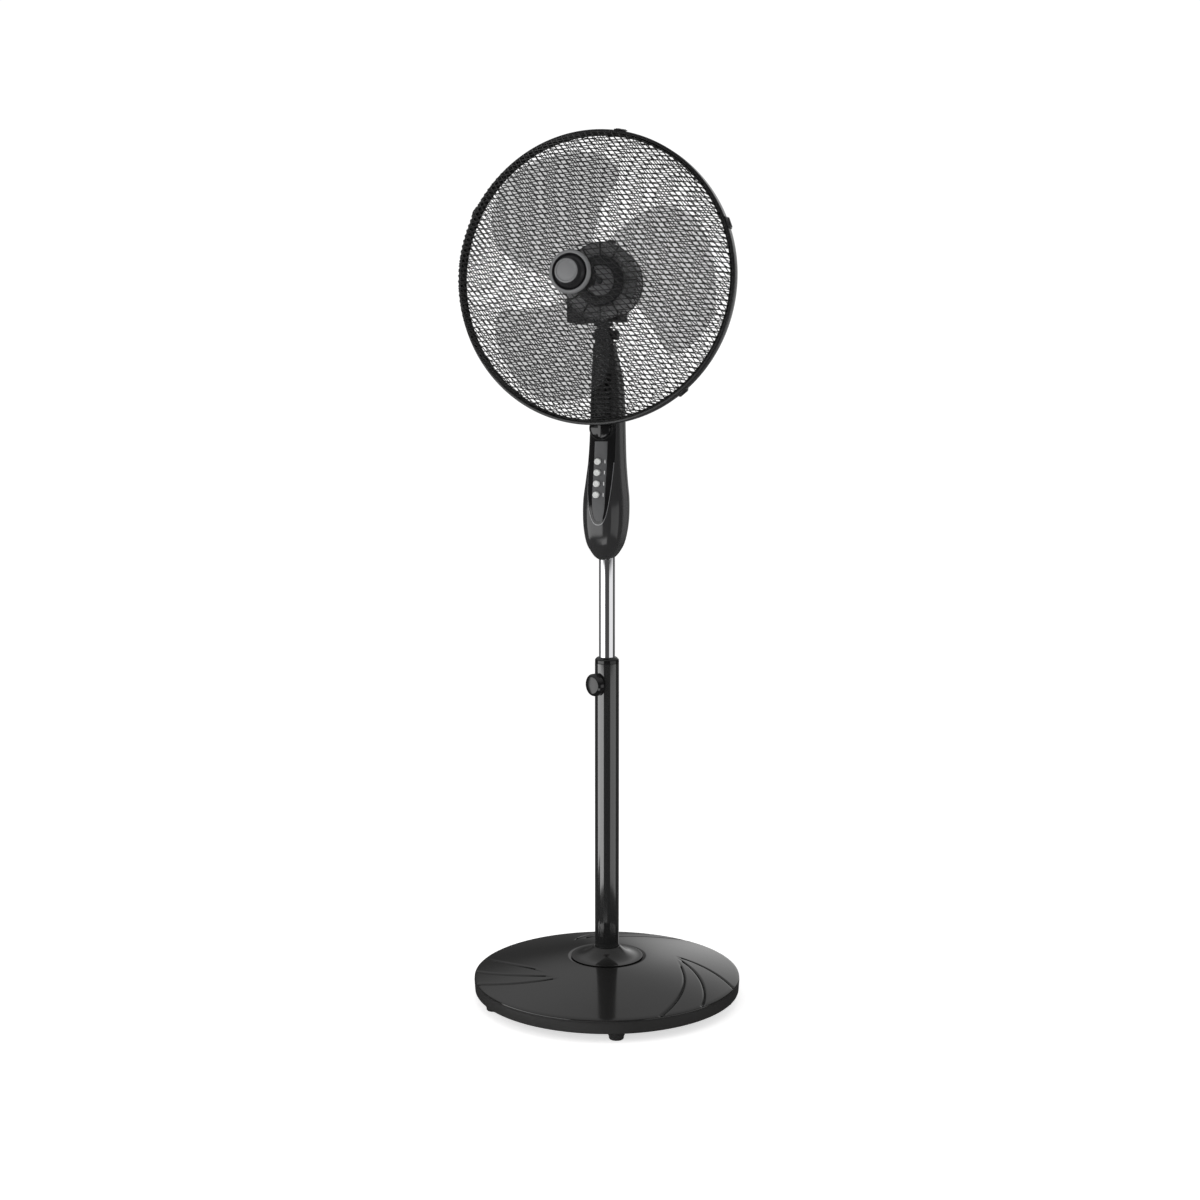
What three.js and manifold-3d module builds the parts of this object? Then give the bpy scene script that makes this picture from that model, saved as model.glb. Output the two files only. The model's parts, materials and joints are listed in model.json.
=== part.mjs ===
// Pedestal fan: round weighted base, telescopic column, control housing with neck,
// and a tilting, oscillating head with a three-blade rotor inside a wire guard.
//
// Millimetres, +Z up. The origin is the centre of the base on the floor, and the
// fan blows towards -Y. Every piece is one closed solid with its own material.

import * as THREE from 'three';
import { mergeVertices } from 'three/addons/utils/BufferGeometryUtils.js';
import Module from 'manifold-3d';

const wasm = await Module();
wasm.setup();

// ---------------------------------------------------------------- driving sizes

const GAP = 0.3;                    // play between two pieces that touch

const BASE_RADIUS = 211;
const SKIRT_BOTTOM = 14;            // lower edge of the base cover
const RIM_CREASE = 34.7;            // where the skirt turns into the dome
const DOME_TOP = 63.5;              // dome height at the flange
const FLANGE_RADIUS = 58;
const COVER_WALL = 2.5;
const FOOT_COUNT = 5;
const FOOT_FIRST_ANGLE = 22.4;      // degrees from -Y towards +X

const OUTER_TUBE_RADIUS = 19;
const OUTER_TUBE_WALL = 1.4;
const OUTER_TUBE_TOP = 534;
const BUSH_TOP = 543.7;
const INNER_TUBE_RADIUS = 12.5;
const INNER_TUBE_WALL = 1.4;
const INNER_TUBE_BOTTOM = 330;
const LOCK_KNOB_Z = 502;
const LOCK_KNOB_RADIUS = 17.5;
const LOCK_KNOB_AZIMUTH = 28;       // degrees from -Y towards -X
const LOCK_HOLE_RADIUS = 4.2;

const HOUSING_BOTTOM = 697;
const HOUSING_WALL = 2.5;
const HOUSING_SEAM_Y = 9;           // the front and back shells meet here
const PANEL_HALF_WIDTH = 20;
const PANEL_TIP = 55;               // heights in the housing count from its bottom
const PANEL_SHOULDER = 165;
const PANEL_TOP = 213;
const STRIP_HALF_WIDTH = 10.8;
const BUTTON_COUNT = 4;
const BUTTON_RADIUS = 5;
const BUTTON_PITCH = 16.8;
const BUTTON_TOP_Z = 151.5;
const BUTTON_X = -3.5;
const BUTTON_REACH = 6.5;           // how far a button stands out of the strip
const TIMER_Z = 202;
const TIMER_KNOB_RADIUS = 16;
const TIMER_KNOB_FRONT = 39;
const RIB_COUNT = 9;
const RIB_PITCH = 7.5;
const RIB_FIRST_Z = 219;

const PIVOT_Y = -14;                // tilt axis and oscillation axis both pass here
const TILT_Z = 1040;
const EAR_INNER = 5.9;
const EAR_OUTER = 12.5;
const EAR_RADIUS = 11;
const BRACKET_PLATE_Z = 1054;
const BRACKET_PLATE_TOP = 1057.5;
const CRANK_ARM = 7.7;
const ROCKER_ARM = 12;
const CRANK_Y = PIVOT_Y + 50;
const LINK_Z = 1058;
const LINK_THICKNESS = 2;

const HEAD_Z = 1120;                // height of the fan axis
const RING_RADIUS = 216.5;
const RING_BACK = 50;               // distances along the fan axis count forward from
const RING_FRONT = 70;              // the column axis
const MOTOR_RADIUS = 54;
const MOTOR_FRONT = 30;
const MOTOR_SEAM = -6;
const HUB_RADIUS = 53;
const HUB_BACK = 54;
const HUB_FRONT = 98;
const BLADE_COUNT = 3;
const BLADE_FIRST_ANGLE = -4;
const BLADE_TIP_RADIUS = 192;
const BLADE_HALF_SPAN = 43;         // degrees, up to where the tip rounds off
const BLADE_SWEEP = 20;             // degrees that the root leads the tip by
const SHAFT_RADIUS = 4;
const BADGE_RADIUS = 34;
const BADGE_BACK = 167;
const CLIP_ANGLES = [20, 79, 151, -51];

const TUBE_SEGMENTS = 18;
const MOTOR_SEGMENTS = 24;
const RING_SEGMENTS = 32;
const BASE_SEGMENTS = 36;

// -------------------------------------------------------------------- materials

function finish(color, roughness, metalness, opacity = 1) {
  return new THREE.MeshStandardMaterial({
    color, roughness, metalness, opacity, transparent: opacity < 1,
  });
}

const baseGloss = finish(0x3b3a3a, 0.22, 0.0);
const tubePaint = finish(0x343536, 0.25, 0.4);
const blackGloss = finish(0x0d0d0e, 0.15, 0.0);
const housingGloss = finish(0x303031, 0.25, 0.0);
const stripGrey = finish(0x555658, 0.45, 0.0);
const buttonGrey = finish(0xb4b5b4, 0.4, 0.0);
const chrome = finish(0xdcdde0, 0.06, 1.0);
const steel = finish(0x8d9094, 0.35, 1.0);
const castIron = finish(0x4a4a4b, 0.7, 0.8);
const blackPlastic = finish(0x19191a, 0.5, 0.0);
const rubber = finish(0x121212, 0.85, 0.0);
const guardBlack = finish(0x131314, 0.35, 0.5);
const smokyBlade = finish(0x7d8083, 0.12, 0.0, 0.5);
const badgeGrey = finish(0xa3a4a5, 0.3, 0.2);

// ---------------------------------------------------------------- solid helpers

const radians = THREE.MathUtils.degToRad;

// Turns a closed three.js geometry into a solid with its faces pointing out.
function solidFrom(geometry) {
  const bare = geometry.clone();
  bare.deleteAttribute('normal');
  bare.deleteAttribute('uv');
  const merged = mergeVertices(bare, 1e-4);
  const points = merged.getAttribute('position').array;
  const corners = merged.index.array;
  const triangles = [];
  let volume = 0;
  for (let i = 0; i < corners.length; i += 3) {
    const [a, b, c] = [corners[i], corners[i + 1], corners[i + 2]];
    if (a === b || b === c || c === a) continue;
    triangles.push(a, b, c);
    const [p, q, r] = [a, b, c].map((k) => new THREE.Vector3().fromArray(points, 3 * k));
    volume += p.dot(q.cross(r));
  }
  if (volume < 0) triangles.reverse();
  return new wasm.Manifold(new wasm.Mesh({
    numProp: 3,
    vertProperties: new Float32Array(points),
    triVerts: new Uint32Array(triangles),
  }));
}

function geometryFrom(solid) {
  const mesh = solid.getMesh();
  const geometry = new THREE.BufferGeometry();
  geometry.setAttribute('position', new THREE.BufferAttribute(new Float32Array(mesh.vertProperties), 3));
  geometry.setIndex(new THREE.BufferAttribute(new Uint32Array(mesh.triVerts), 1));
  geometry.computeVertexNormals();
  return geometry;
}

const joined = (...solids) => solids.reduce((whole, next) => whole.add(next));
const cut = (solid, ...tools) => tools.reduce((rest, tool) => rest.subtract(tool), solid);

// Revolves [radius, height] points about +Z.
function lathe(points, segments = TUBE_SEGMENTS) {
  const profile = points.map(([radius, height]) => new THREE.Vector2(radius, height));
  const geometry = new THREE.LatheGeometry(profile, segments);
  geometry.rotateX(Math.PI / 2);
  return solidFrom(geometry);
}

// The same for a profile that closes on itself, off the axis.
function latheRing(points, segments = TUBE_SEGMENTS) {
  return lathe([...points, points[0]], segments);
}

function pipe(outer, inner, bottom, top, segments = TUBE_SEGMENTS) {
  return latheRing([[inner, bottom], [outer, bottom], [outer, top], [inner, top]], segments);
}

function rod(radius, bottom, top, segments = 12) {
  return lathe([[0, bottom], [radius, bottom], [radius, top], [0, top]], segments);
}

function place(geometry, x, y, z) {
  geometry.translate(x, y, z);
  return solidFrom(geometry);
}

function block([x0, x1], [y0, y1], [z0, z1]) {
  const geometry = new THREE.BoxGeometry(x1 - x0, y1 - y0, z1 - z0);
  return place(geometry, (x0 + x1) / 2, (y0 + y1) / 2, (z0 + z1) / 2);
}

// Round bars along X, Y and Z.
function barX(radius, [x0, x1], y, z, sides = 12) {
  const geometry = new THREE.CylinderGeometry(radius, radius, x1 - x0, sides);
  geometry.rotateZ(Math.PI / 2);
  return place(geometry, (x0 + x1) / 2, y, z);
}

function barY(radius, [y0, y1], x, z, sides = 12) {
  return place(new THREE.CylinderGeometry(radius, radius, y1 - y0, sides), x, (y0 + y1) / 2, z);
}

function barZ(radius, [z0, z1], x, y, sides = 12) {
  const geometry = new THREE.CylinderGeometry(radius, radius, z1 - z0, sides);
  geometry.rotateX(Math.PI / 2);
  return place(geometry, x, y, (z0 + z1) / 2);
}

// A flat outline in X and Z, pushed through along Y.
function prismY(outline, [y0, y1]) {
  const shape = new THREE.Shape(outline.map(([x, z]) => new THREE.Vector2(x, z)));
  const geometry = new THREE.ExtrudeGeometry(shape, { depth: y1 - y0, bevelEnabled: false });
  geometry.rotateX(Math.PI / 2);
  geometry.translate(0, y1, 0);
  return solidFrom(geometry);
}

// A closed solid through a stack of rings that all have the same number of points.
function loft(rings) {
  const count = rings[0].length;
  const points = rings.flat();
  const triangles = [];
  for (let row = 0; row < rings.length - 1; row += 1) {
    for (let i = 0; i < count; i += 1) {
      const a = row * count + i;
      const b = row * count + (i + 1) % count;
      triangles.push(a, b, b + count, a, b + count, a + count);
    }
  }
  const top = (rings.length - 1) * count;
  for (let i = 1; i < count - 1; i += 1) {
    triangles.push(0, i + 1, i);
    triangles.push(top, top + i, top + i + 1);
  }
  const geometry = new THREE.BufferGeometry().setFromPoints(points);
  geometry.setIndex(triangles);
  return solidFrom(geometry);
}

function addPiece(group, name, solid, material) {
  const mesh = new THREE.Mesh(geometryFrom(solid), material);
  mesh.name = name;
  group.add(mesh);
  return mesh;
}

// ------------------------------------------------------------------------- base

const stand = new THREE.Group();

// Height of the dome's outer surface at a radius.
function domeHeight(radius) {
  const share = (radius - FLANGE_RADIUS) / (BASE_RADIUS - 3 - FLANGE_RADIUS);
  return DOME_TOP - (DOME_TOP - RIM_CREASE - 1.6) * share ** 1.3;
}

function baseCover() {
  const domeRadii = [FLANGE_RADIUS, 110, 165, BASE_RADIUS - 3];
  const hole = 24;
  const outside = [[hole, DOME_TOP]];
  for (const radius of domeRadii) outside.push([radius, domeHeight(radius)]);
  outside.push([BASE_RADIUS - 0.8, RIM_CREASE], [BASE_RADIUS, RIM_CREASE - 3]);
  outside.push([BASE_RADIUS - 1, SKIRT_BOTTOM]);
  const inside = [[BASE_RADIUS - 1 - COVER_WALL, SKIRT_BOTTOM]];
  inside.push([BASE_RADIUS - COVER_WALL - 0.4, RIM_CREASE - 4.5]);
  for (const radius of [...domeRadii].reverse()) {
    inside.push([radius - 2, domeHeight(radius) - COVER_WALL]);
  }
  inside.push([hole, DOME_TOP - COVER_WALL]);
  return latheRing([...outside, ...inside], BASE_SEGMENTS);
}
addPiece(stand, 'base_cover', baseCover(), baseGloss);

// Flared collar that hides the foot of the column.
function baseCollar() {
  const bottom = DOME_TOP + GAP;
  const bore = OUTER_TUBE_RADIUS + GAP;
  return latheRing([
    [bore, bottom + 1], [FLANGE_RADIUS - 3, bottom], [FLANGE_RADIUS - 1, bottom],
    [FLANGE_RADIUS - 1, bottom + 2], [48, bottom + 3.6], [38, bottom + 6.2], [30, bottom + 10.4],
    [24.5, bottom + 16], [22, bottom + 22], [bore, bottom + 22.6],
  ], MOTOR_SEGMENTS);
}
addPiece(stand, 'base_collar', baseCollar(), baseGloss);

const PLATE_BOTTOM = SKIRT_BOTTOM + 0.5;
const PLATE_TOP = PLATE_BOTTOM + 2.5;
const WEIGHT_TOP = PLATE_TOP + GAP + 3.8;
const BOLT_RADIUS = 4;
const BOLT_HOLE = BOLT_RADIUS + GAP;
addPiece(stand, 'base_plate', pipe(206, BOLT_HOLE, PLATE_BOTTOM, PLATE_TOP, BASE_SEGMENTS), blackPlastic);
addPiece(stand, 'base_weight', pipe(186, BOLT_HOLE, PLATE_TOP + GAP, WEIGHT_TOP, RING_SEGMENTS), castIron);

// Five rubber feet, slightly conical, under the base plate.
for (let i = 0; i < FOOT_COUNT; i += 1) {
  const foot = addPiece(stand, `foot_${i + 1}`, lathe([
    [0, 0], [10, 0], [11, 1], [12.5, PLATE_BOTTOM - GAP], [0, PLATE_BOTTOM - GAP],
  ], 20), rubber);
  const angle = radians(FOOT_FIRST_ANGLE + i * 360 / FOOT_COUNT);
  foot.position.set(190 * Math.sin(angle), -190 * Math.cos(angle), 0);
}

// Steel flange with a stub that plugs into the outer tube, and its bolt and nut.
const FLANGE_BOTTOM = WEIGHT_TOP + GAP;
const FLANGE_TOP = FLANGE_BOTTOM + 4;
const STUB_RADIUS = OUTER_TUBE_RADIUS - OUTER_TUBE_WALL - GAP;
addPiece(stand, 'column_flange', latheRing([
  [BOLT_HOLE, FLANGE_BOTTOM], [44, FLANGE_BOTTOM], [44, FLANGE_TOP], [STUB_RADIUS, FLANGE_TOP],
  [STUB_RADIUS, 80], [STUB_RADIUS - 3, 80], [STUB_RADIUS - 3, FLANGE_TOP], [BOLT_HOLE, FLANGE_TOP],
]), steel);
addPiece(stand, 'base_bolt', joined(
  rod(7, PLATE_BOTTOM - 5, PLATE_BOTTOM - GAP, 6),
  rod(BOLT_RADIUS, PLATE_BOTTOM - 1, FLANGE_TOP + 14, 16),
), steel);
addPiece(stand, 'base_nut', cut(
  rod(7.4, FLANGE_TOP + GAP, FLANGE_TOP + 7, 6), rod(BOLT_HOLE, FLANGE_TOP, FLANGE_TOP + 8)), steel);

// ----------------------------------------------------------------------- column

const lockDirection = new THREE.Vector3(
  -Math.sin(radians(LOCK_KNOB_AZIMUTH)), -Math.cos(radians(LOCK_KNOB_AZIMUTH)), 0);

// Places a solid made along +Z so that it points away from the column at the lock.
function atLock(mesh) {
  mesh.position.set(0, 0, LOCK_KNOB_Z);
  mesh.quaternion.setFromUnitVectors(new THREE.Vector3(0, 0, 1), lockDirection);
  return mesh;
}

function lockHole() {
  const geometry = new THREE.CylinderGeometry(LOCK_HOLE_RADIUS, LOCK_HOLE_RADIUS, 14, 16);
  geometry.rotateX(Math.PI / 2);
  geometry.translate(0, 0, 17);
  geometry.applyQuaternion(
    new THREE.Quaternion().setFromUnitVectors(new THREE.Vector3(0, 0, 1), lockDirection));
  return place(geometry, 0, 0, LOCK_KNOB_Z);
}

const outerBore = OUTER_TUBE_RADIUS - OUTER_TUBE_WALL;
addPiece(stand, 'outer_tube', cut(
  pipe(OUTER_TUBE_RADIUS, outerBore, FLANGE_TOP + GAP, OUTER_TUBE_TOP), lockHole()), tubePaint);

// Bush in the mouth of the outer tube, with a rounded cap above it.
addPiece(stand, 'top_bush', cut(latheRing([
  [INNER_TUBE_RADIUS + 0.4, 450], [outerBore - GAP, 450], [outerBore - GAP, OUTER_TUBE_TOP + GAP],
  [OUTER_TUBE_RADIUS - 0.4, OUTER_TUBE_TOP + GAP], [OUTER_TUBE_RADIUS - 0.4, BUSH_TOP - 4],
  [OUTER_TUBE_RADIUS - 1.4, BUSH_TOP - 1.2], [OUTER_TUBE_RADIUS - 3.4, BUSH_TOP],
  [INNER_TUBE_RADIUS + 0.4, BUSH_TOP],
]), lockHole()), blackGloss);

const lockKnob = new THREE.Group();
atLock(addPiece(lockKnob, 'lock_knob', lathe([
  [0, INNER_TUBE_RADIUS + GAP], [3.5, INNER_TUBE_RADIUS + GAP], [3.5, OUTER_TUBE_RADIUS + 1],
  [LOCK_KNOB_RADIUS - 1.5, OUTER_TUBE_RADIUS + 1],
  [LOCK_KNOB_RADIUS, OUTER_TUBE_RADIUS + 4], [LOCK_KNOB_RADIUS, OUTER_TUBE_RADIUS + 10.5],
  [LOCK_KNOB_RADIUS - 4, OUTER_TUBE_RADIUS + 13.4], [0, OUTER_TUBE_RADIUS + 14],
], 20), blackGloss));

// ------------------------------------------------- mast: inner tube and housing

const mast = new THREE.Group();
mast.position.z = HOUSING_BOTTOM;
const TUBE_TOP = 63;

addPiece(mast, 'inner_tube', pipe(
  INNER_TUBE_RADIUS, INNER_TUBE_RADIUS - INNER_TUBE_WALL, INNER_TUBE_BOTTOM - HOUSING_BOTTOM, TUBE_TOP), chrome);
addPiece(mast, 'guide_bush', pipe(
  outerBore - GAP, INNER_TUBE_RADIUS + GAP,
  INNER_TUBE_BOTTOM + 2 - HOUSING_BOTTOM, INNER_TUBE_BOTTOM + 22 - HOUSING_BOTTOM), blackPlastic);

// Sections of the housing from its bottom up: [height, half width, front, back, corner].
// Front counts towards -Y and back towards +Y, both from the column axis.
const HOUSING_SECTIONS = [
  [0, 8, 20, 6, 6],
  [4, 13, 27, 12, 10],
  [11, 18.5, 32, 18, 13],
  [24, 24.5, 37.5, 24, 15],
  [43, 28.5, 41.5, 28.5, 16],
  [65, 30.3, 43, 31, 15],
  [93, 30, 42, 32, 14],
  [120, 27, 38, 32, 12],
  [153, 24, 32, 32, 10],
  [193, 22.6, 28.5, 32, 9],
  [238, 21.5, 28, 31, 9],
  [280, 20, 29, 25, 8],
  [308, 17.5, 30, 12, 8],
  [329, 16, 31, 2, 8],
];
const HOUSING_TOP = HOUSING_SECTIONS.at(-1)[0];
const CORNER_STEPS = 3;

// One rounded rectangle of the housing, shrunk by the inset.
function housingRing([height, halfWidth, front, back, corner], inset) {
  const side = halfWidth - inset;
  const radius = Math.max(corner - inset, 1);
  const [frontY, backY] = [-front + inset, back - inset];
  const centres = [
    [side - radius, backY - radius, 0], [-side + radius, backY - radius, 90],
    [-side + radius, frontY + radius, 180], [side - radius, frontY + radius, 270],
  ];
  return centres.flatMap(([x, y, start]) => Array.from({ length: CORNER_STEPS + 1 }, (_, step) => {
    const angle = radians(start + 90 * step / CORNER_STEPS);
    return new THREE.Vector3(x + radius * Math.cos(angle), y + radius * Math.sin(angle), height);
  }));
}

function housingSolid(inset, bottom, top) {
  const inside = HOUSING_SECTIONS.filter(([height]) => height >= bottom && height <= top);
  const rings = inside.map((section) => housingRing(section, inset));
  for (const point of rings[0]) point.z = bottom;
  for (const point of rings.at(-1)) point.z = top;
  return loft(rings);
}

// How far the housing's front stands out at a height.
function housingFront(height) {
  const above = HOUSING_SECTIONS.findIndex(([z]) => z >= height);
  const [low, high] = [HOUSING_SECTIONS[above - 1], HOUSING_SECTIONS[above]];
  const share = (height - low[0]) / (high[0] - low[0]);
  return THREE.MathUtils.lerp(low[2], high[2], share);
}

// Outline of the tongue-shaped control panel, grown or shrunk by a margin.
function tongueOutline(halfWidth, tip, shoulder, top, margin = 0) {
  const steps = 12;
  const outline = [[halfWidth + margin, top + margin], [-halfWidth - margin, top + margin]];
  for (let i = 0; i <= steps; i += 1) {
    const angle = Math.PI + Math.PI * i / steps;
    outline.push([
      (halfWidth + margin) * Math.cos(angle), shoulder + (shoulder - tip + margin) * Math.sin(angle)]);
  }
  return outline;
}

const FRONT_REACH = [-60, -18];
const housingShell = cut(
  housingSolid(0, 0, HOUSING_TOP), housingSolid(HOUSING_WALL, 11, HOUSING_TOP - 3),
  barZ(INNER_TUBE_RADIUS + GAP, [-5, 30], 0, 0, TUBE_SEGMENTS));
const panelCut = (margin) => prismY(
  tongueOutline(PANEL_HALF_WIDTH, PANEL_TIP, PANEL_SHOULDER, PANEL_TOP, margin), FRONT_REACH);
const stripCut = (margin) => prismY(
  tongueOutline(STRIP_HALF_WIDTH, PANEL_TIP + 5, PANEL_TIP + 50, 182, margin), FRONT_REACH);

// Ribbed field on the neck, with an arched top.
const RIB_FIELD_BOTTOM = PANEL_TOP + 2;
const RIB_FIELD_TOP = RIB_FIRST_Z + RIB_COUNT * RIB_PITCH;
function ribField(margin) {
  const half = 14 + margin;
  const outline = [[-half, RIB_FIELD_BOTTOM - margin], [half, RIB_FIELD_BOTTOM - margin]];
  for (let step = 0; step <= 8; step += 1) {
    const angle = Math.PI * step / 8;
    outline.push([half * Math.cos(angle), RIB_FIELD_TOP - 6 + (6 + margin) * Math.sin(angle)]);
  }
  return prismY(outline, FRONT_REACH);
}

const buttonHeights = Array.from({ length: BUTTON_COUNT }, (_, i) => BUTTON_TOP_Z - i * BUTTON_PITCH);
const buttonHoles = joined(...buttonHeights.map(
  (z) => barY(BUTTON_RADIUS + GAP, FRONT_REACH, BUTTON_X, z)));
const timerHole = barY(5, FRONT_REACH, 0, TIMER_Z, 16);

// The neck fork passes up through the housing's top.
const forkBlock = (margin) => block(
  [-EAR_OUTER - margin, EAR_OUTER + margin], [PIVOT_Y - 9 - margin, PIVOT_Y + 9 + margin],
  [290 - margin, TILT_Z - HOUSING_BOTTOM]);

const screwHeights = [110, 255];
const screwHoles = joined(...screwHeights.map((z) => barY(3.6, [14, 60], 0, z, 12)));
const glandHole = barY(5.6, [10, 60], 0, 36);

const frontHalf = block([-60, 60], [-80, HOUSING_SEAM_Y - GAP / 2], [-5, HOUSING_TOP + 5]);
const backHalf = block([-60, 60], [HOUSING_SEAM_Y + GAP / 2, 80], [-5, HOUSING_TOP + 5]);
addPiece(mast, 'housing_front', cut(
  housingShell.intersect(frontHalf), panelCut(GAP), ribField(GAP), forkBlock(GAP)), housingGloss);
addPiece(mast, 'housing_back', cut(
  housingShell.intersect(backHalf), screwHoles, glandHole, forkBlock(GAP)), housingGloss);
addPiece(mast, 'control_panel', cut(
  housingShell.intersect(panelCut(0)), stripCut(GAP), timerHole), blackGloss);
addPiece(mast, 'panel_strip', cut(housingShell.intersect(stripCut(0)), buttonHoles), stripGrey);

// Neck field: a thin panel with horizontal ribs standing proud of it.
function neckRibs() {
  const ribs = Array.from({ length: RIB_COUNT }, (_, i) => {
    const z = RIB_FIRST_Z + i * RIB_PITCH;
    return block([-13, 13], [-30.6, -27.4], [z - 1, z + 1]);
  });
  return joined(housingShell.intersect(ribField(0)), ...ribs);
}
addPiece(mast, 'neck_ribs', neckRibs(), blackGloss);

// Switch block, timer and tube socket inside the housing.
addPiece(mast, 'switch_block', block([-14, 14], [-17, -2], [92, 160]), blackPlastic);
addPiece(mast, 'timer_unit', joined(
  barY(14, [-20, 2], 0, TIMER_Z, 20), barY(3, [-36, -19], 0, TIMER_Z, 12)), blackPlastic);
addPiece(mast, 'tube_socket', pipe(20, INNER_TUBE_RADIUS + GAP, 44, TUBE_TOP - 3), blackPlastic);
screwHeights.forEach((z, i) => {
  const back = i === 0 ? 31.4 : 28.6;
  addPiece(mast, `housing_screw_${i + 1}`, joined(
    barY(3.2, [back - 3, back], 0, z, 12), barY(1.7, [12, back - 2], 0, z, 8)), steel);
});

// Gland for the mains lead, low on the back.
addPiece(mast, 'cord_gland', joined(barY(5, [18, 36], 0, 36), barY(7.5, [29, 31.5], 0, 36)), blackPlastic);

// Four push buttons: a round cap on a stem that reaches the switch block.
const buttons = new THREE.Group();
mast.add(buttons);
buttonHeights.forEach((z, i) => {
  const face = -housingFront(z) - BUTTON_REACH;
  addPiece(buttons, `speed_button_${i}`, joined(
    barY(BUTTON_RADIUS - 0.8, [face, face + 1], BUTTON_X, z),
    barY(BUTTON_RADIUS, [face + 0.8, face + 10], BUTTON_X, z),
    barY(3, [face + 9, -21], BUTTON_X, z, 12)), buttonGrey);
});

// Timer knob: a round cap with a raised grip across its face.
addPiece(mast, 'timer_knob', cut(joined(
  barY(TIMER_KNOB_RADIUS, [-TIMER_KNOB_FRONT + 3, -29.6], 0, TIMER_Z, 24),
  barY(TIMER_KNOB_RADIUS - 2, [-TIMER_KNOB_FRONT + 2, -TIMER_KNOB_FRONT + 3.5], 0, TIMER_Z, 24),
  block([-2.5, 2.5], [-TIMER_KNOB_FRONT, -TIMER_KNOB_FRONT + 4], [TIMER_Z - 13, TIMER_Z + 13]),
), barY(3.4, [-36.4, -20], 0, TIMER_Z, 12)), blackGloss);

// Fork with two ears that hold the tilt bolt.
const pivotZ = TILT_Z - HOUSING_BOTTOM;
addPiece(mast, 'neck_fork', cut(
  joined(forkBlock(0), barX(EAR_RADIUS, [-EAR_OUTER, EAR_OUTER], PIVOT_Y, pivotZ, 20)),
  block([-EAR_INNER, EAR_INNER], [PIVOT_Y - 20, PIVOT_Y + 20], [pivotZ - 12, pivotZ + 20]),
  barX(3.3, [-20, 20], PIVOT_Y, pivotZ, 16)), blackPlastic);
addPiece(mast, 'tilt_bolt', joined(
  barX(3, [-14, 17], PIVOT_Y, pivotZ, 16),
  barX(5.5, [-EAR_OUTER - 5, -EAR_OUTER - GAP], PIVOT_Y, pivotZ, 6)), steel);
addPiece(mast, 'tilt_knob', cut(joined(
  barX(7, [EAR_OUTER + GAP, EAR_OUTER + 5], PIVOT_Y, pivotZ, 20),
  barX(8, [EAR_OUTER + 4, EAR_OUTER + 10], PIVOT_Y, pivotZ, 8),
), barX(3.3, [EAR_OUTER - 1, EAR_OUTER + 5], PIVOT_Y, pivotZ, 16)), blackPlastic);

// --------------------------------------------------- tilt bracket and crank link

const tilt = new THREE.Group();

addPiece(tilt, 'tilt_bracket', cut(
  joined(
    barX(10.5, [-EAR_INNER + 0.4, EAR_INNER - 0.4], PIVOT_Y, TILT_Z, 18),
    block([-EAR_INNER + 0.4, EAR_INNER - 0.4], [PIVOT_Y - 8, PIVOT_Y + 8], [TILT_Z, BRACKET_PLATE_Z + 1]),
    barZ(13, [BRACKET_PLATE_Z, BRACKET_PLATE_TOP], 0, PIVOT_Y, 20),
    barZ(5, [BRACKET_PLATE_Z, BRACKET_PLATE_TOP], -ROCKER_ARM, PIVOT_Y, 16),
    barZ(2.2, [BRACKET_PLATE_Z, LINK_Z + LINK_THICKNESS + 1], -ROCKER_ARM, PIVOT_Y, 12),
  ),
  barX(3.3, [-20, 20], PIVOT_Y, TILT_Z, 16),
  barZ(4.7, [TILT_Z + 7, BRACKET_PLATE_TOP + 5], 0, PIVOT_Y, 16)), blackPlastic);
addPiece(tilt, 'osc_pin', barZ(4.4, [TILT_Z + 7.5, 1064.5], 0, PIVOT_Y, 16), steel);

// Flat link from the bracket to the crank; its far eye is a wide slot.
function crankLink() {
  const [eyeX, eyeY] = [-ROCKER_ARM - CRANK_ARM, CRANK_Y];
  const span = [LINK_Z, LINK_Z + LINK_THICKNESS];
  const bar = new THREE.BoxGeometry(6, eyeY - PIVOT_Y - 4, LINK_THICKNESS);
  bar.rotateZ(Math.atan2(CRANK_ARM, eyeY - PIVOT_Y));
  return cut(joined(
    barZ(5, span, -ROCKER_ARM, PIVOT_Y, 20),
    place(bar, (eyeX - ROCKER_ARM) / 2, (eyeY + PIVOT_Y) / 2, LINK_Z + LINK_THICKNESS / 2),
    block([eyeX - 5, eyeX + 10], [eyeY - 6.5, eyeY + 6.5], span),
  ), barZ(2.5, [LINK_Z - 1, LINK_Z + 4], -ROCKER_ARM, PIVOT_Y, 12),
  block([eyeX - 2.2, eyeX + 7.2], [eyeY - 3.6, eyeY + 3.6], [LINK_Z - 1, LINK_Z + 4]));
}
addPiece(tilt, 'crank_link', crankLink(), steel);

// ------------------------------------------------------------------ head: motor

// In this group +Y of the part stays +Y and heights count from the fan axis.
const head = new THREE.Group();
head.position.z = HEAD_Z;

// In this nested group +Z points forward along the fan axis and +Y points up.
const axial = new THREE.Group();
axial.rotation.x = Math.PI / 2;
head.add(axial);

const motorEnvelope = lathe([
  [0, MOTOR_FRONT + 1], [MOTOR_RADIUS + GAP, MOTOR_FRONT + 1], [MOTOR_RADIUS + GAP, -10],
  [46 + GAP, -28], [37, -42], [24, -53], [0, -54],
], MOTOR_SEGMENTS).rotate([90, 0, 0]);

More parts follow.
